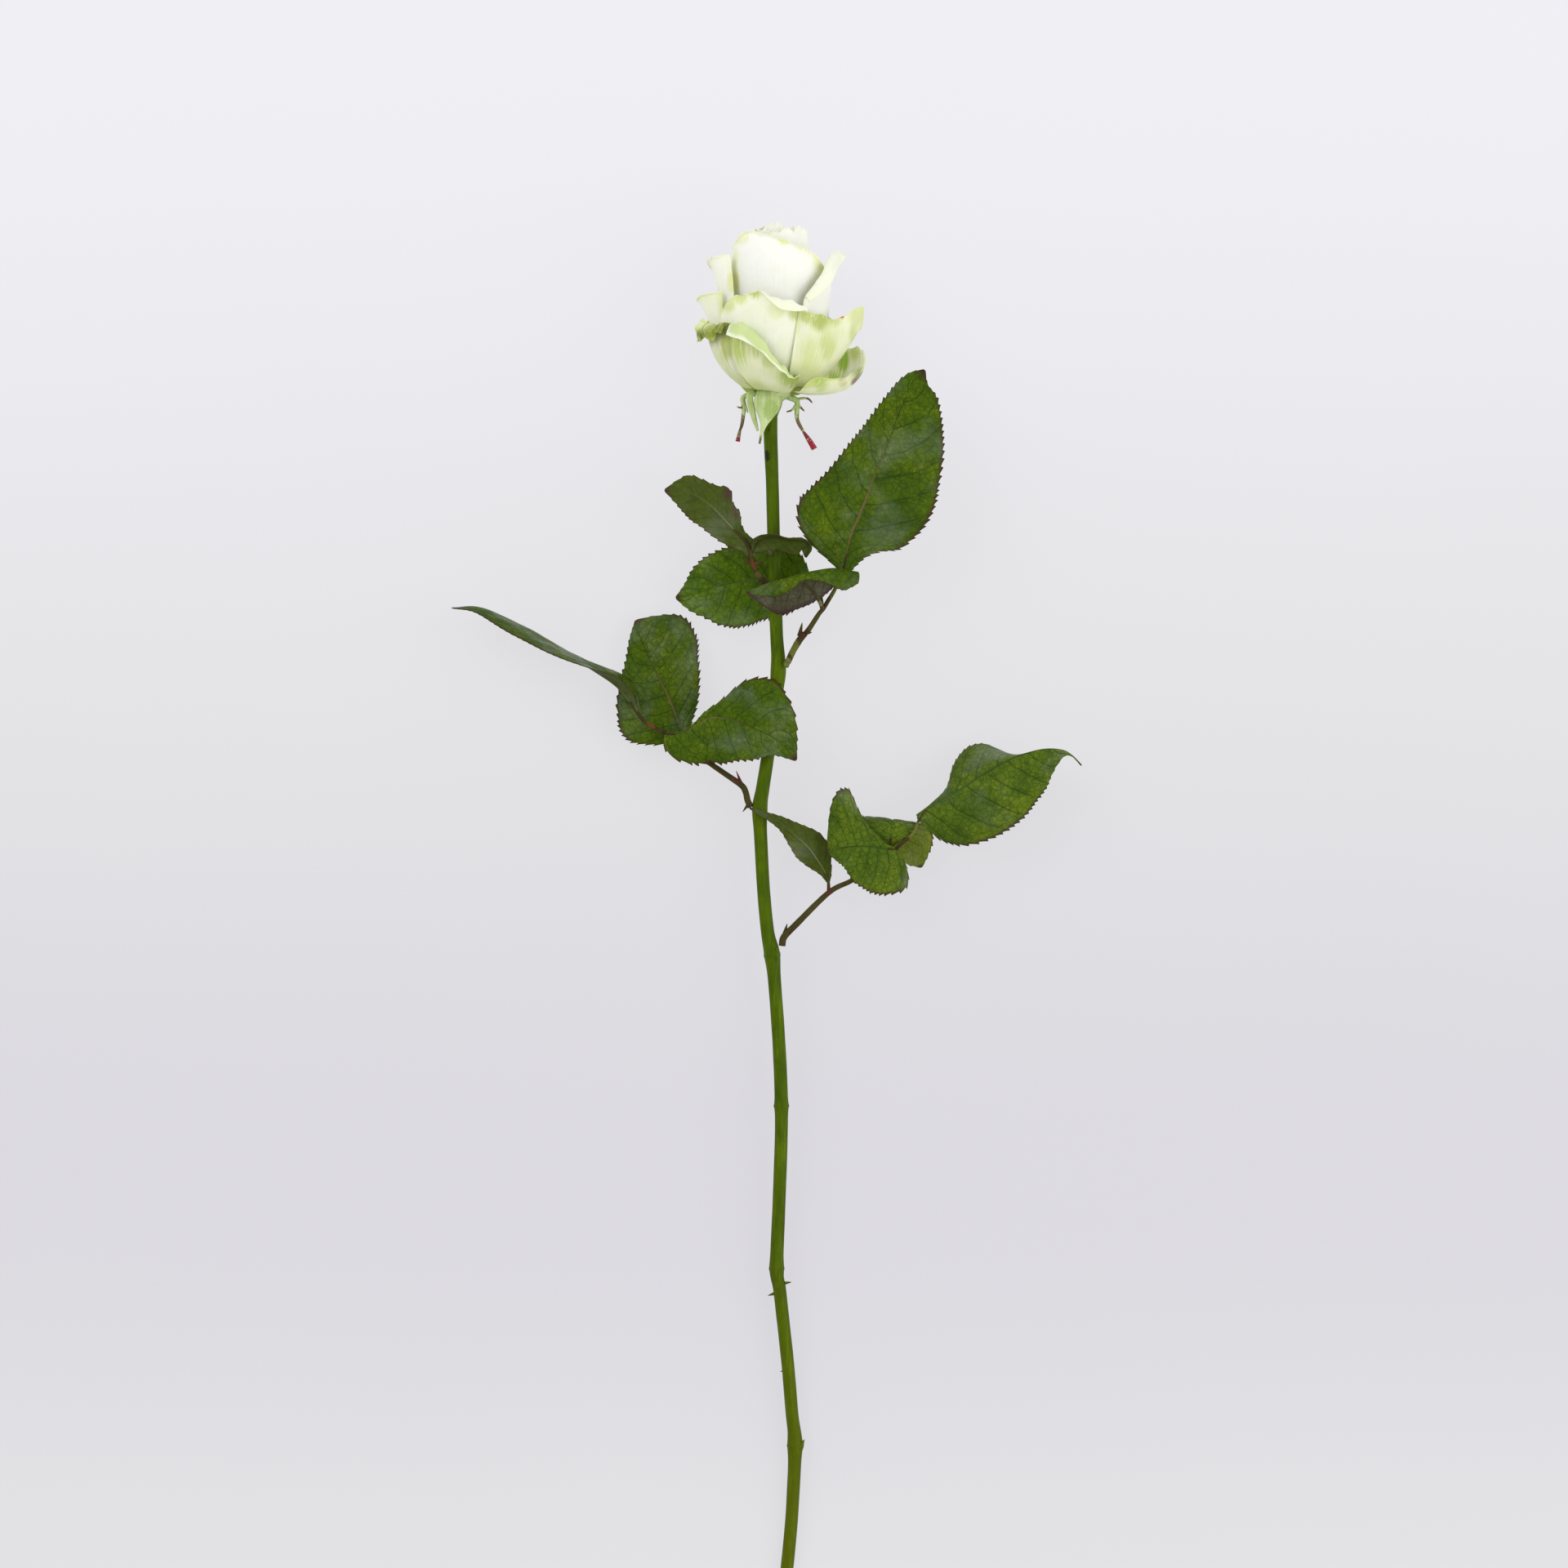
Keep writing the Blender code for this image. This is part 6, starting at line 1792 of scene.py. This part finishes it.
@dataclass(frozen=True)
class Calyx:
    """The green cup under the petals, with its sepals.

    The profile gives (radius, height) along the bloom's axis. Below the waist its foot shifts sideways to
    meet the stem.
    """

    CUP_RINGS = 60
    CUP_SIDES = 12
    WAIST = -2.0
    TAIL_STEP = 0.5
    TAIL_UNEVEN = 0.12

    profile: tuple[tuple[float, float], ...] = (
        (2.7, -8.0), (2.9, -7.0), (3.5, -5.6), (4.8, -4.2), (6.2, -2.9), (6.5, -2.0), (6.3, -1.3), (5.2, 0.2),
        (4.1, 1.6), (3.1, 2.7), (2.2, 3.7), (1.4, 4.5), (0.4, 5.0),
    )
    foot_shift: float = -0.65
    sepals: tuple[Sepal, ...] = (
        Sepal("front",
              ((0.4, 188.4, 34.0), (0.2, 185.0, 34.4), (-0.4, 180.0, 33.6), (-1.4, 175.6, 33.0),
               (-2.2, 172.4, 32.8), (-3.0, 168.8, 32.6)),
              left=(5.2, 5.8, 5.4, 3.2, 1.2, 0.5, 0.35), right=(5.2, 5.6, 4.9, 2.8, 1.0, 0.45, 0.35),
              facing=(0, 0, -1), fold_left=(8, 4), fold_right=(8, 4), bend_left=(45, 20),
              bend_right=(45, 20)),
        Sepal("left",
              ((-4.6, 188.0, 30.6), (-6.6, 186.2, 31.0), (-5.9, 182.0, 30.4), (-4.8, 177.6, 30.0),
               (-3.6, 173.6, 29.6)),
              left=(1.6, 1.3, 1.2, 0.9, 0.4), right=(1.6, 1.3, 1.2, 0.9, 0.4), facing=(0.5, 0, -0.85),
              relief=0.2, wall=0.5, across=8),
        Sepal("back",
              ((1.6, 188.6, 22.2), (1.4, 185.0, 21.4), (1.1, 180.0, 21.4), (0.9, 174.0, 21.4),
               (0.4, 168.0, 20.8)),
              left=(4.6, 4.2, 2.4, 1.3, 0.4), right=(4.6, 4.0, 2.2, 1.2, 0.4), fold_left=(8, 4),
              fold_right=(8, 4), bend_left=(35, 15), bend_right=(35, 15)),
    )
    tails: tuple[Twig, ...] = (
        Twig(((-2.6, 187.9, 27.4), (-6.6, 187.0, 27.0), (-9.1, 185.7, 26.7), (-8.7, 182.6, 26.6),
              (-9.3, 176.7, 26.8), (-10.2, 173.7, 27.0)), 1.2, 0.5),
        Twig(((-10.1, 174.2, 27.0), (-10.6, 171.8, 27.1), (-11.0, 169.8, 27.2)), 0.5, 0.85),
        Twig(((-8.7, 184.0, 26.6), (-9.7, 182.2, 27.2), (-11.4, 182.6, 27.6)), 0.5, 0.25),
        Twig(((-8.7, 184.0, 26.6), (-7.8, 182.0, 27.0), (-7.2, 180.2, 27.4)), 0.6, 0.25),
        Twig(((4.8, 187.2, 27.2), (8.0, 186.0, 26.9), (10.7, 184.6, 26.7), (10.7, 181.0, 26.8),
              (11.0, 177.4, 27.0), (13.4, 172.9, 27.0)), 1.3, 0.5),
        Twig(((13.3, 173.1, 27.0), (15.4, 170.0, 27.2), (17.2, 167.0, 27.2)), 0.6, 1.15),
        Twig(((10.7, 183.6, 26.8), (9.0, 181.4, 27.4), (6.8, 180.6, 27.8)), 0.6, 0.25),
        Twig(((10.8, 183.8, 26.8), (12.2, 182.2, 27.2), (13.6, 180.8, 27.4)), 0.6, 0.25),
        Twig(((9.8, 185.0, 26.8), (12.4, 185.6, 27.0), (14.8, 185.5, 27.2), (16.4, 183.9, 27.4)), 0.6, 0.3),
    )

    def cup(self, bloom: Bloom) -> Piece:
        """Makes the cup itself.

        Args:
            bloom: the flower on top of it.

        Returns:
            The cup.
        """
        depth = self.WAIST - self.profile[0][1]
        line: list[Vector] = []
        radii: list[float] = []
        for spot in Route([(r, h, 0.0) for r, h in self.profile], self.CUP_RINGS).points:
            shift = self.foot_shift * min(1.0, max(0.0, (self.WAIST - spot.y) / depth))
            line.append(bloom.point(0.0, spot.y, 0.0, shift))
            radii.append(spot.x)
        return Bench.rod("cup", line, radii, self.CUP_SIDES)

    def build(self, bloom: Bloom, paint: Paint) -> None:
        """Makes the calyx and lets it stand for its solid.

        Args:
            bloom: the flower on top of it.
            paint: the finishes by name.
        """
        parts = [self.cup(bloom)]
        parts += [tail.build(f"tail_{n}", self.TAIL_STEP, self.TAIL_UNEVEN)
                  for n, tail in enumerate(self.tails)]
        parts += [sepal.build("sepal") for sepal in self.sepals]
        Bench.seat(Bench.joined("calyx.cup", parts), "calyx", Slot.CALYX, [paint["calyx"], paint["calyx"]])


@dataclass(frozen=True)
class Lamp:
    """A square lamp of the studio: where it stands and its side, in metres, and its power in watts."""

    AIM = (0.0, 0.08, 0.0)

    name: str
    place: Point
    side: float
    power: float

    def build(self) -> None:
        """Sets up the lamp and turns it to the rose."""
        bpy.ops.object.light_add(type="AREA", location=self.place)
        lamp = bpy.context.object
        lamp.name = self.name
        lamp.data.shape = "SQUARE"
        lamp.data.size = self.side
        lamp.data.energy = self.power
        lamp.rotation_euler = (Vector(self.AIM) - Vector(self.place)).to_track_quat("-Z", "Y").to_euler()


@dataclass(frozen=True)
class Studio:
    """The floor, the light and the camera.

    The camera's numbers are millimetres, apart from VIEW_END. That, the floor's size and the levels along Y
    where its tone changes are metres, and DRIFT_SCALE is Blender's noise scale, in swells a metre.
    """

    SENSOR = 36.0
    VIEW_END = 100.0
    FLOOR_SIZE = 40.0
    FLOOR_ROUGHNESS = 0.95
    DRIFT_SCALE = 2.5
    DRIFT = 0.05
    FAR_LEVELS = (0.02, 0.32)
    BAND_LOW_LEVELS = (-0.26, -0.11)
    BAND_HIGH_LEVELS = (-0.08, 0.08)
    ROOM_LEVELS = (0.1, 0.95)

    centre: Point = (6.0, 44.1, 22.0)
    frame_width: float = 576.0
    distance: float = 5000.0
    floor_base: Colour = (0.10, 0.10, 0.103)
    floor_glow_near: Colour = (0.655, 0.650, 0.668)
    floor_glow_far: Colour = (0.750, 0.742, 0.782)
    floor_glow_band: Colour = (0.604, 0.592, 0.630)
    room_low: Colour = (0.98, 0.99, 1.0)
    room_high: Colour = (0.60, 0.60, 0.61)
    room_strength: float = 0.87
    lamps: tuple[Lamp, ...] = (
        Lamp("key", (-1.1, 0.9, 1.5), 1.4, 17.0),
        Lamp("fill", (1.4, -0.1, 1.3), 1.6, 18.5),
    )

    def camera(self) -> None:
        """Looks straight down from far away, with the bloom at the top of the picture."""
        x, y, z = self.centre
        bpy.ops.object.camera_add(location=(x * MM, y * MM, (z + self.distance) * MM), rotation=(0, 0, 0))
        eye = bpy.context.object
        eye.name = "camera"
        eye.data.sensor_width = self.SENSOR
        eye.data.lens = self.SENSOR * self.distance / self.frame_width
        eye.data.clip_end = self.VIEW_END
        bpy.context.scene.camera = eye

    def floor(self) -> None:
        """A wide floor that glows with its own pale tone, painted light that hides shadows: paler further up
        Y, with a slightly darker painted band across the lower stem.
        """
        Bench.clear_selection()
        bpy.ops.mesh.primitive_plane_add(size=self.FLOOR_SIZE, location=(0, 0, 0))
        ground = bpy.context.object
        ground.name = "floor"
        board = Board("floor_paper")
        height = board.split(board.place())[1]
        level = board.wavering(height, board.clouds(board.place(), self.DRIFT_SCALE, 3.0), self.DRIFT)
        tone = board.mix(board.fade(level, *self.FAR_LEVELS), self.floor_glow_near, self.floor_glow_far)
        band = board.times(board.fade(level, *self.BAND_LOW_LEVELS),
                           board.fade(level, *self.BAND_HIGH_LEVELS, 1.0, 0.0))
        tone = board.mix(band, tone, self.floor_glow_band)
        board.feed(board.shader.inputs["Base Color"], self.floor_base)
        board.gloss(self.FLOOR_ROUGHNESS, 0.0)
        # painted light: the floor's tone is its own glow, not light from the lamps
        board.feed(board.shader.inputs["Emission Color"], tone)
        board.shader.inputs["Emission Strength"].default_value = 1.0
        ground.data.materials.append(board.material)

    def room(self) -> None:
        """A bright room round it all, paler below than above."""
        world = bpy.data.worlds.new("room")
        world.use_nodes = True
        tree = world.node_tree
        height = tree.nodes.new("ShaderNodeSeparateXYZ")
        tree.links.new(tree.nodes.new("ShaderNodeTexCoord").outputs["Generated"], height.inputs[0])
        ramp = tree.nodes.new("ShaderNodeValToRGB")
        tones = (self.room_low, self.room_high)
        for stop, level, tone in zip(ramp.color_ramp.elements, self.ROOM_LEVELS, tones):
            stop.position, stop.color = level, (*tone, 1.0)
        tree.links.new(height.outputs[2], ramp.inputs[0])
        background = tree.nodes["Background"]
        tree.links.new(ramp.outputs[0], background.inputs[0])
        background.inputs[1].default_value = self.room_strength
        bpy.context.scene.world = world

    def build(self) -> None:
        """Sets up camera, floor, room and lamps."""
        self.camera()
        self.floor()
        self.room()
        for lamp in self.lamps:
            lamp.build()
        bpy.context.scene.view_settings.view_transform = "Standard"


FINISHES = (
    PetalFinish("petal_cream", (0.95, 0.95, 0.79), (0.82, 0.85, 0.48), (0.76, 0.81, 0.42), rim_share=0.5,
                streaks=0.15, claw_to=0.4, blush=0.12,
                spots=(Spot((-20.7, 237.3, 28.0), 0.9, 1.0, (0.42, 0.04, 0.03)),
                       # painted shade: the yellow-olive of the shaded gap between middle_left and the bud
                       Spot((-13.0, 227.5, 36.0), 3.0, 2.6, (0.70, 0.72, 0.24), 0.8),
                       Spot((-21.5, 232.0, 28.0), 4.0, 1.6, (0.76, 0.82, 0.46), 0.6))),
    PetalFinish("bud_face", (0.965, 0.96, 0.81), (0.84, 0.86, 0.50), (0.76, 0.81, 0.42), rim_share=0.5,
                streaks=0.12, claw_to=0.3, blush=0.1,
                # the marks along the rims are partly the rim's own yellow-green, partly painted shade of the
                # rolled edges and of the line beneath the inner petals
                spots=(Spot((-12.6, 237.0, 40.0), 3.2, 2.4, (0.80, 0.85, 0.44), 0.7),
                       Spot((-9.6, 244.4, 42.0), 4.6, 1.0, (0.76, 0.82, 0.44), 0.7),
                       # painted shade: the yellow-olive of the shaded gap between the bud and middle_left
                       Spot((-12.6, 228.0, 36.0), 3.6, 2.4, (0.72, 0.74, 0.28), 0.8),
                       Spot((19.8, 236.2, 40.0), 6.0, 1.4, (0.76, 0.81, 0.40), 0.75),
                       Spot((14.6, 240.6, 40.0), 6.0, 1.0, (0.70, 0.76, 0.36), 0.75),
                       Spot((6.0, 243.2, 42.0), 3.6, 1.0, (0.66, 0.72, 0.28), 0.7))),
    PetalFinish("petal_inside", (0.83, 0.86, 0.68), (0.76, 0.78, 0.30), (0.80, 0.86, 0.56), rim_share=0.4,
                streaks=0.2, claw_to=0.6, blush=0.12),
    PetalFinish("petal_outer", (0.90, 0.91, 0.69), (0.78, 0.82, 0.48), (0.60, 0.69, 0.24), rim_from=0.8,
                rim_share=0.7, streaks=0.3, claw_to=0.4, blush=0.4,
                spots=(Spot((-4.6, 223.6, 50.0), 3.8, 1.0, (0.42, 0.50, 0.10), 0.75),
                       Spot((-9.8, 222.0, 48.0), 4.4, 1.0, (0.56, 0.64, 0.20), 0.7),
                       Spot((-14.6, 219.0, 44.0), 4.6, 1.0, (0.54, 0.62, 0.18), 0.7),
                       Spot((10.6, 215.8, 50.0), 4.6, 1.0, (0.44, 0.51, 0.13), 0.8),
                       Spot((3.0, 216.6, 50.0), 5.0, 1.0, (0.66, 0.72, 0.34), 0.5))),
    PetalFinish("petal_green", (0.83, 0.85, 0.57), (0.62, 0.68, 0.28), (0.60, 0.69, 0.26), rim_from=0.86,
                rim_share=0.6, streaks=0.4, claw_to=0.5, blush=0.4,
                # painted shade: these three olive marks darken the fold near the top of the petal, where its
                # shadow lies
                spots=(Spot((19.6, 213.4, 46.0), 6.4, 1.0, (0.34, 0.42, 0.08), 0.9),
                       Spot((24.4, 214.2, 42.0), 4.6, 1.0, (0.44, 0.50, 0.13), 0.75),
                       Spot((14.0, 214.6, 48.0), 3.4, 1.2, (0.46, 0.53, 0.14), 0.8),
                       Spot((21.9, 204.5, 44.0), 5.4, 1.6, (0.46, 0.57, 0.12), 0.65),
                       Spot((15.4, 200.5, 46.0), 7.0, 1.6, (0.60, 0.68, 0.26), 0.6),
                       Spot((31.6, 208.0, 32.0), 2.8, 3.0, (0.46, 0.52, 0.16), 0.7),
                       Spot((33.2, 216.4, 34.0), 6.0, 1.6, (0.58, 0.64, 0.30), 0.8),
                       Spot((24.0, 209.0, 42.0), 7.0, 1.0, (0.66, 0.72, 0.34), 0.6),
                       Spot((27.2, 215.2, 38.0), 1.3, 1.0, (0.42, 0.06, 0.03)))),
    PetalFinish("guard_face", (0.80, 0.83, 0.53), (0.52, 0.60, 0.17), (0.44, 0.55, 0.10), rim_from=0.74,
                rim_share=0.75, streaks=0.5, claw_to=0.4, blush=0.5, reach=0.5,
                spots=(Spot((-12.0, 202.0, 44.0), 8.0, 1.6, (0.34, 0.46, 0.04), 0.8),
                       Spot((-4.3, 202.4, 50.0), 4.4, 1.0, (0.40, 0.50, 0.09), 0.6),
                       Spot((8.6, 192.4, 46.0), 7.4, 1.0, (0.34, 0.46, 0.06), 0.75),
                       Spot((0.6, 198.6, 50.0), 4.4, 1.0, (0.40, 0.50, 0.12), 0.5),
                       Spot((-4.6, 189.0, 44.0), 5.4, 1.0, (0.48, 0.58, 0.16), 0.5),
                       Spot((19.4, 191.2, 34.0), 5.4, 1.0, (0.32, 0.46, 0.03), 0.8),
                       Spot((33.4, 193.6, 30.0), 5.4, 1.4, (0.10, 0.13, 0.01), 0.85),
                       Spot((32.0, 191.4, 30.0), 2.6, 1.0, (0.16, 0.03, 0.02), 0.8),
                       Spot((27.4, 191.0, 30.0), 3.4, 1.0, (0.42, 0.38, 0.16), 0.7))),
    PetalFinish("guard_inside", (0.54, 0.65, 0.30), (0.40, 0.55, 0.10), (0.88, 0.91, 0.72), rim_from=0.93,
                rim_share=0.9, streaks=0.4, blush=0.5),
    PetalFinish("guard_streaked", (0.98, 0.98, 0.84), (0.42, 0.60, 0.06), (0.62, 0.62, 0.34), rim_from=0.93,
                rim_share=0.5, streaks=0.6, claw_to=0.3, blush=0.1, reach=0.8,
                spots=(Spot((27.6, 199.6, 16.0), 4.0, 2.4, (0.26, 0.48, 0.01), 0.9),
                       Spot((24.0, 194.0, 16.0), 4.4, 1.2, (0.30, 0.52, 0.01), 0.85),
                       Spot((31.8, 203.0, 16.0), 3.2, 1.8, (0.40, 0.54, 0.08), 0.7),
                       Spot((34.2, 194.0, 20.0), 5.0, 1.0, (0.14, 0.18, 0.01), 0.85))),
    PetalFinish("guard_knot", (0.80, 0.84, 0.54), (0.46, 0.54, 0.10), (0.60, 0.72, 0.28), rim_from=0.8,
                rim_share=0.8, streaks=0.8, claw_to=0.35, blush=0.4, reach=0.6,
                spots=(Spot((-21.6, 209.0, 36.0), 7.0, 0.9, (0.24, 0.28, 0.008), 0.9),
                       Spot((-16.6, 210.8, 38.0), 6.0, 0.9, (0.17, 0.20, 0.004), 0.9),
                       Spot((-13.6, 209.0, 42.0), 5.0, 1.0, (0.22, 0.27, 0.006), 0.85),
                       Spot((-25.0, 208.0, 30.0), 4.6, 1.0, (0.12, 0.15, 0.004), 0.9),
                       Spot((-14.6, 204.4, 42.0), 4.4, 1.8, (0.34, 0.40, 0.04), 0.7))),
    LeafFinish("leaf_top", (0.032, 0.066, 0.004), (0.058, 0.104, 0.004), (0.135, 0.185, 0.006),
               (0.014, 0.032, 0.004), (0.15, 0.10, 0.05), (0.024, 0.044, 0.008)),
    LeafFinish("leaf_plain", (0.044, 0.082, 0.007), (0.084, 0.136, 0.010), (0.175, 0.230, 0.012),
               (0.014, 0.034, 0.004), (0.040, 0.075, 0.020), (0.022, 0.048, 0.008)),
    # painted light: a paler copy of the underside's olive, lighter than leaf_below to lift the shade that c_1
    # casts on c_3
    LeafFinish("leaf_olive_painted_light", (0.16, 0.22, 0.018), (0.24, 0.30, 0.028), (0.30, 0.35, 0.04),
               (0.06, 0.085, 0.018), (0.22, 0.24, 0.09), (0.12, 0.14, 0.05), margin=(0.07, 0.03, 0.02),
               roughness=0.55, vein_share=0.4, net_share=0.4, raised=True),
    LeafFinish("leaf_bright", (0.044, 0.092, 0.004), (0.085, 0.150, 0.005), (0.17, 0.24, 0.008),
               (0.016, 0.045, 0.004), (0.12, 0.10, 0.05), (0.03, 0.08, 0.012)),
    LeafFinish("leaf_below", (0.042, 0.062, 0.006), (0.066, 0.090, 0.010), (0.090, 0.112, 0.022),
               (0.040, 0.050, 0.020), (0.20, 0.22, 0.09), (0.10, 0.12, 0.05), margin=(0.07, 0.03, 0.02),
               roughness=0.55, vein_share=0.4, net_share=0.4, raised=True,
               spots=(Spot((-14.0, 150.6, 30.0), 4.4, 1.0, (0.070, 0.036, 0.028), 0.85),
                      Spot((-11.4, 144.6, 30.0), 3.4, 1.6, (0.070, 0.038, 0.028), 0.7))),
    LeafFinish("leaf_dusky", (0.060, 0.064, 0.032), (0.125, 0.135, 0.074), (0.15, 0.16, 0.085),
               (0.045, 0.032, 0.022), (0.19, 0.18, 0.09), (0.12, 0.09, 0.06), margin=(0.05, 0.020, 0.022),
               margin_from=0.78, roughness=0.55, vein_share=0.6, net_share=0.5, raised=True),
    StemFinish("stem", (0.042, 0.078, 0.001), (0.074, 0.120, 0.001), (0.125, 0.180, 0.003),
               low=(0.085, 0.105, 0.001),
               spots=(Spot((-0.2, 164.6, 28.6), 2.4, 1.6, (0.015, 0.012, 0.006)),
                      Spot((0.6, 174.4, 29.6), 1.0, 3.0, (0.03, 0.04, 0.008)),
                      Spot((-0.9, 160.4, 27.0), 1.2, 1.4, (0.015, 0.012, 0.006)))),
    StemFinish("stalk", (0.034, 0.023, 0.010), (0.066, 0.058, 0.013), (0.066, 0.028, 0.015), streak_share=0.8,
               roughness=0.42,
               spots=(Spot((-5.0, 124.9, 27.9), 3.6, 1.0, (0.115, 0.045, 0.016)),
                      Spot((-3.4, 121.0, 27.0), 3.0, 1.0, (0.13, 0.10, 0.03), 0.7),
                      Spot((20.4, 108.2, 27.4), 2.6, 1.0, (0.085, 0.035, 0.020)),
                      Spot((13.8, 98.8, 26.8), 3.2, 1.2, (0.062, 0.022, 0.013), 0.8),
                      Spot((9.8, 93.6, 26.0), 4.0, 1.6, (0.13, 0.145, 0.025), 0.8),
                      Spot((7.4, 88.8, 25.0), 3.0, 1.2, (0.15, 0.165, 0.045), 0.85),
                      Spot((7.0, 89.8, 25.0), 0.9, 1.0, (0.10, 0.045, 0.03)),
                      Spot((19.0, 111.4, 31.0), 3.4, 1.4, (0.20, 0.20, 0.09), 0.7),
                      Spot((24.2, 114.6, 27.8), 4.0, 1.2, (0.10, 0.12, 0.02), 0.7),
                      Spot((54.0, 27.0, 22.0), 6.0, 1.0, (0.14, 0.16, 0.03), 0.8),
                      Spot((-43.0, 65.8, 16.4), 3.2, 1.0, (0.13, 0.045, 0.018)),
                      Spot((-10.8, 46.6, 18.0), 3.4, 1.0, (0.10, 0.022, 0.016)),
                      Spot((22.4, 4.8, 17.6), 3.0, 1.0, (0.085, 0.03, 0.018)))),
    # the calyx's painted shade darkens its sides that face sideways or down
    StemFinish("calyx", (0.33, 0.43, 0.13), (0.52, 0.61, 0.30), (0.66, 0.74, 0.46), streak_share=0.6,
               roughness=0.5, painted_shade=(0.12, 0.18, 0.04), painted_shade_share=0.5,
               spots=(Spot((12.0, 176.8, 27.2), 3.0, 2.2, (0.13, 0.07, 0.035)),
                      Spot((-10.2, 173.6, 27.1), 2.8, 2.0, (0.15, 0.10, 0.04)),
                      Spot((1.2, 181.0, 34.0), 5.0, 1.4, (0.26, 0.38, 0.08), 0.6),
                      Spot((16.0, 168.8, 27.2), 4.6, 1.0, (0.30, 0.022, 0.05), 1.0),
                      Spot((14.2, 172.0, 27.1), 3.4, 1.0, (0.20, 0.03, 0.04), 1.0),
                      Spot((-10.9, 170.2, 27.1), 2.6, 1.0, (0.22, 0.02, 0.04), 1.0),
                      Spot((-9.4, 176.5, 26.9), 4.0, 1.4, (0.10, 0.06, 0.03)),
                      Spot((-10.4, 182.4, 27.3), 2.2, 1.0, (0.12, 0.05, 0.03)),
                      Spot((7.6, 180.8, 27.6), 2.6, 1.0, (0.12, 0.04, 0.025)),
                      Spot((12.8, 181.4, 27.2), 2.2, 1.0, (0.13, 0.06, 0.025)),
                      Spot((15.6, 185.0, 27.2), 3.0, 1.0, (0.12, 0.05, 0.035)),
                      Spot((-2.9, 169.6, 32.6), 2.8, 1.4, (0.10, 0.09, 0.03)))),
)


def main() -> None:
    """Makes the rose, piece by piece, and sets the scene round it."""
    logging.basicConfig(level=logging.INFO, format="%(message)s")
    Studio().build()
    paint = {finish.name: finish.build() for finish in FINISHES}
    bloom = Bloom()
    Stem().build(paint)
    Calyx().build(bloom, paint)
    Stalks().build(paint)
    Leaflets().build(paint)
    bloom.build(paint)
    Bench.clear_selection()


if __name__ == "__main__":
    main()
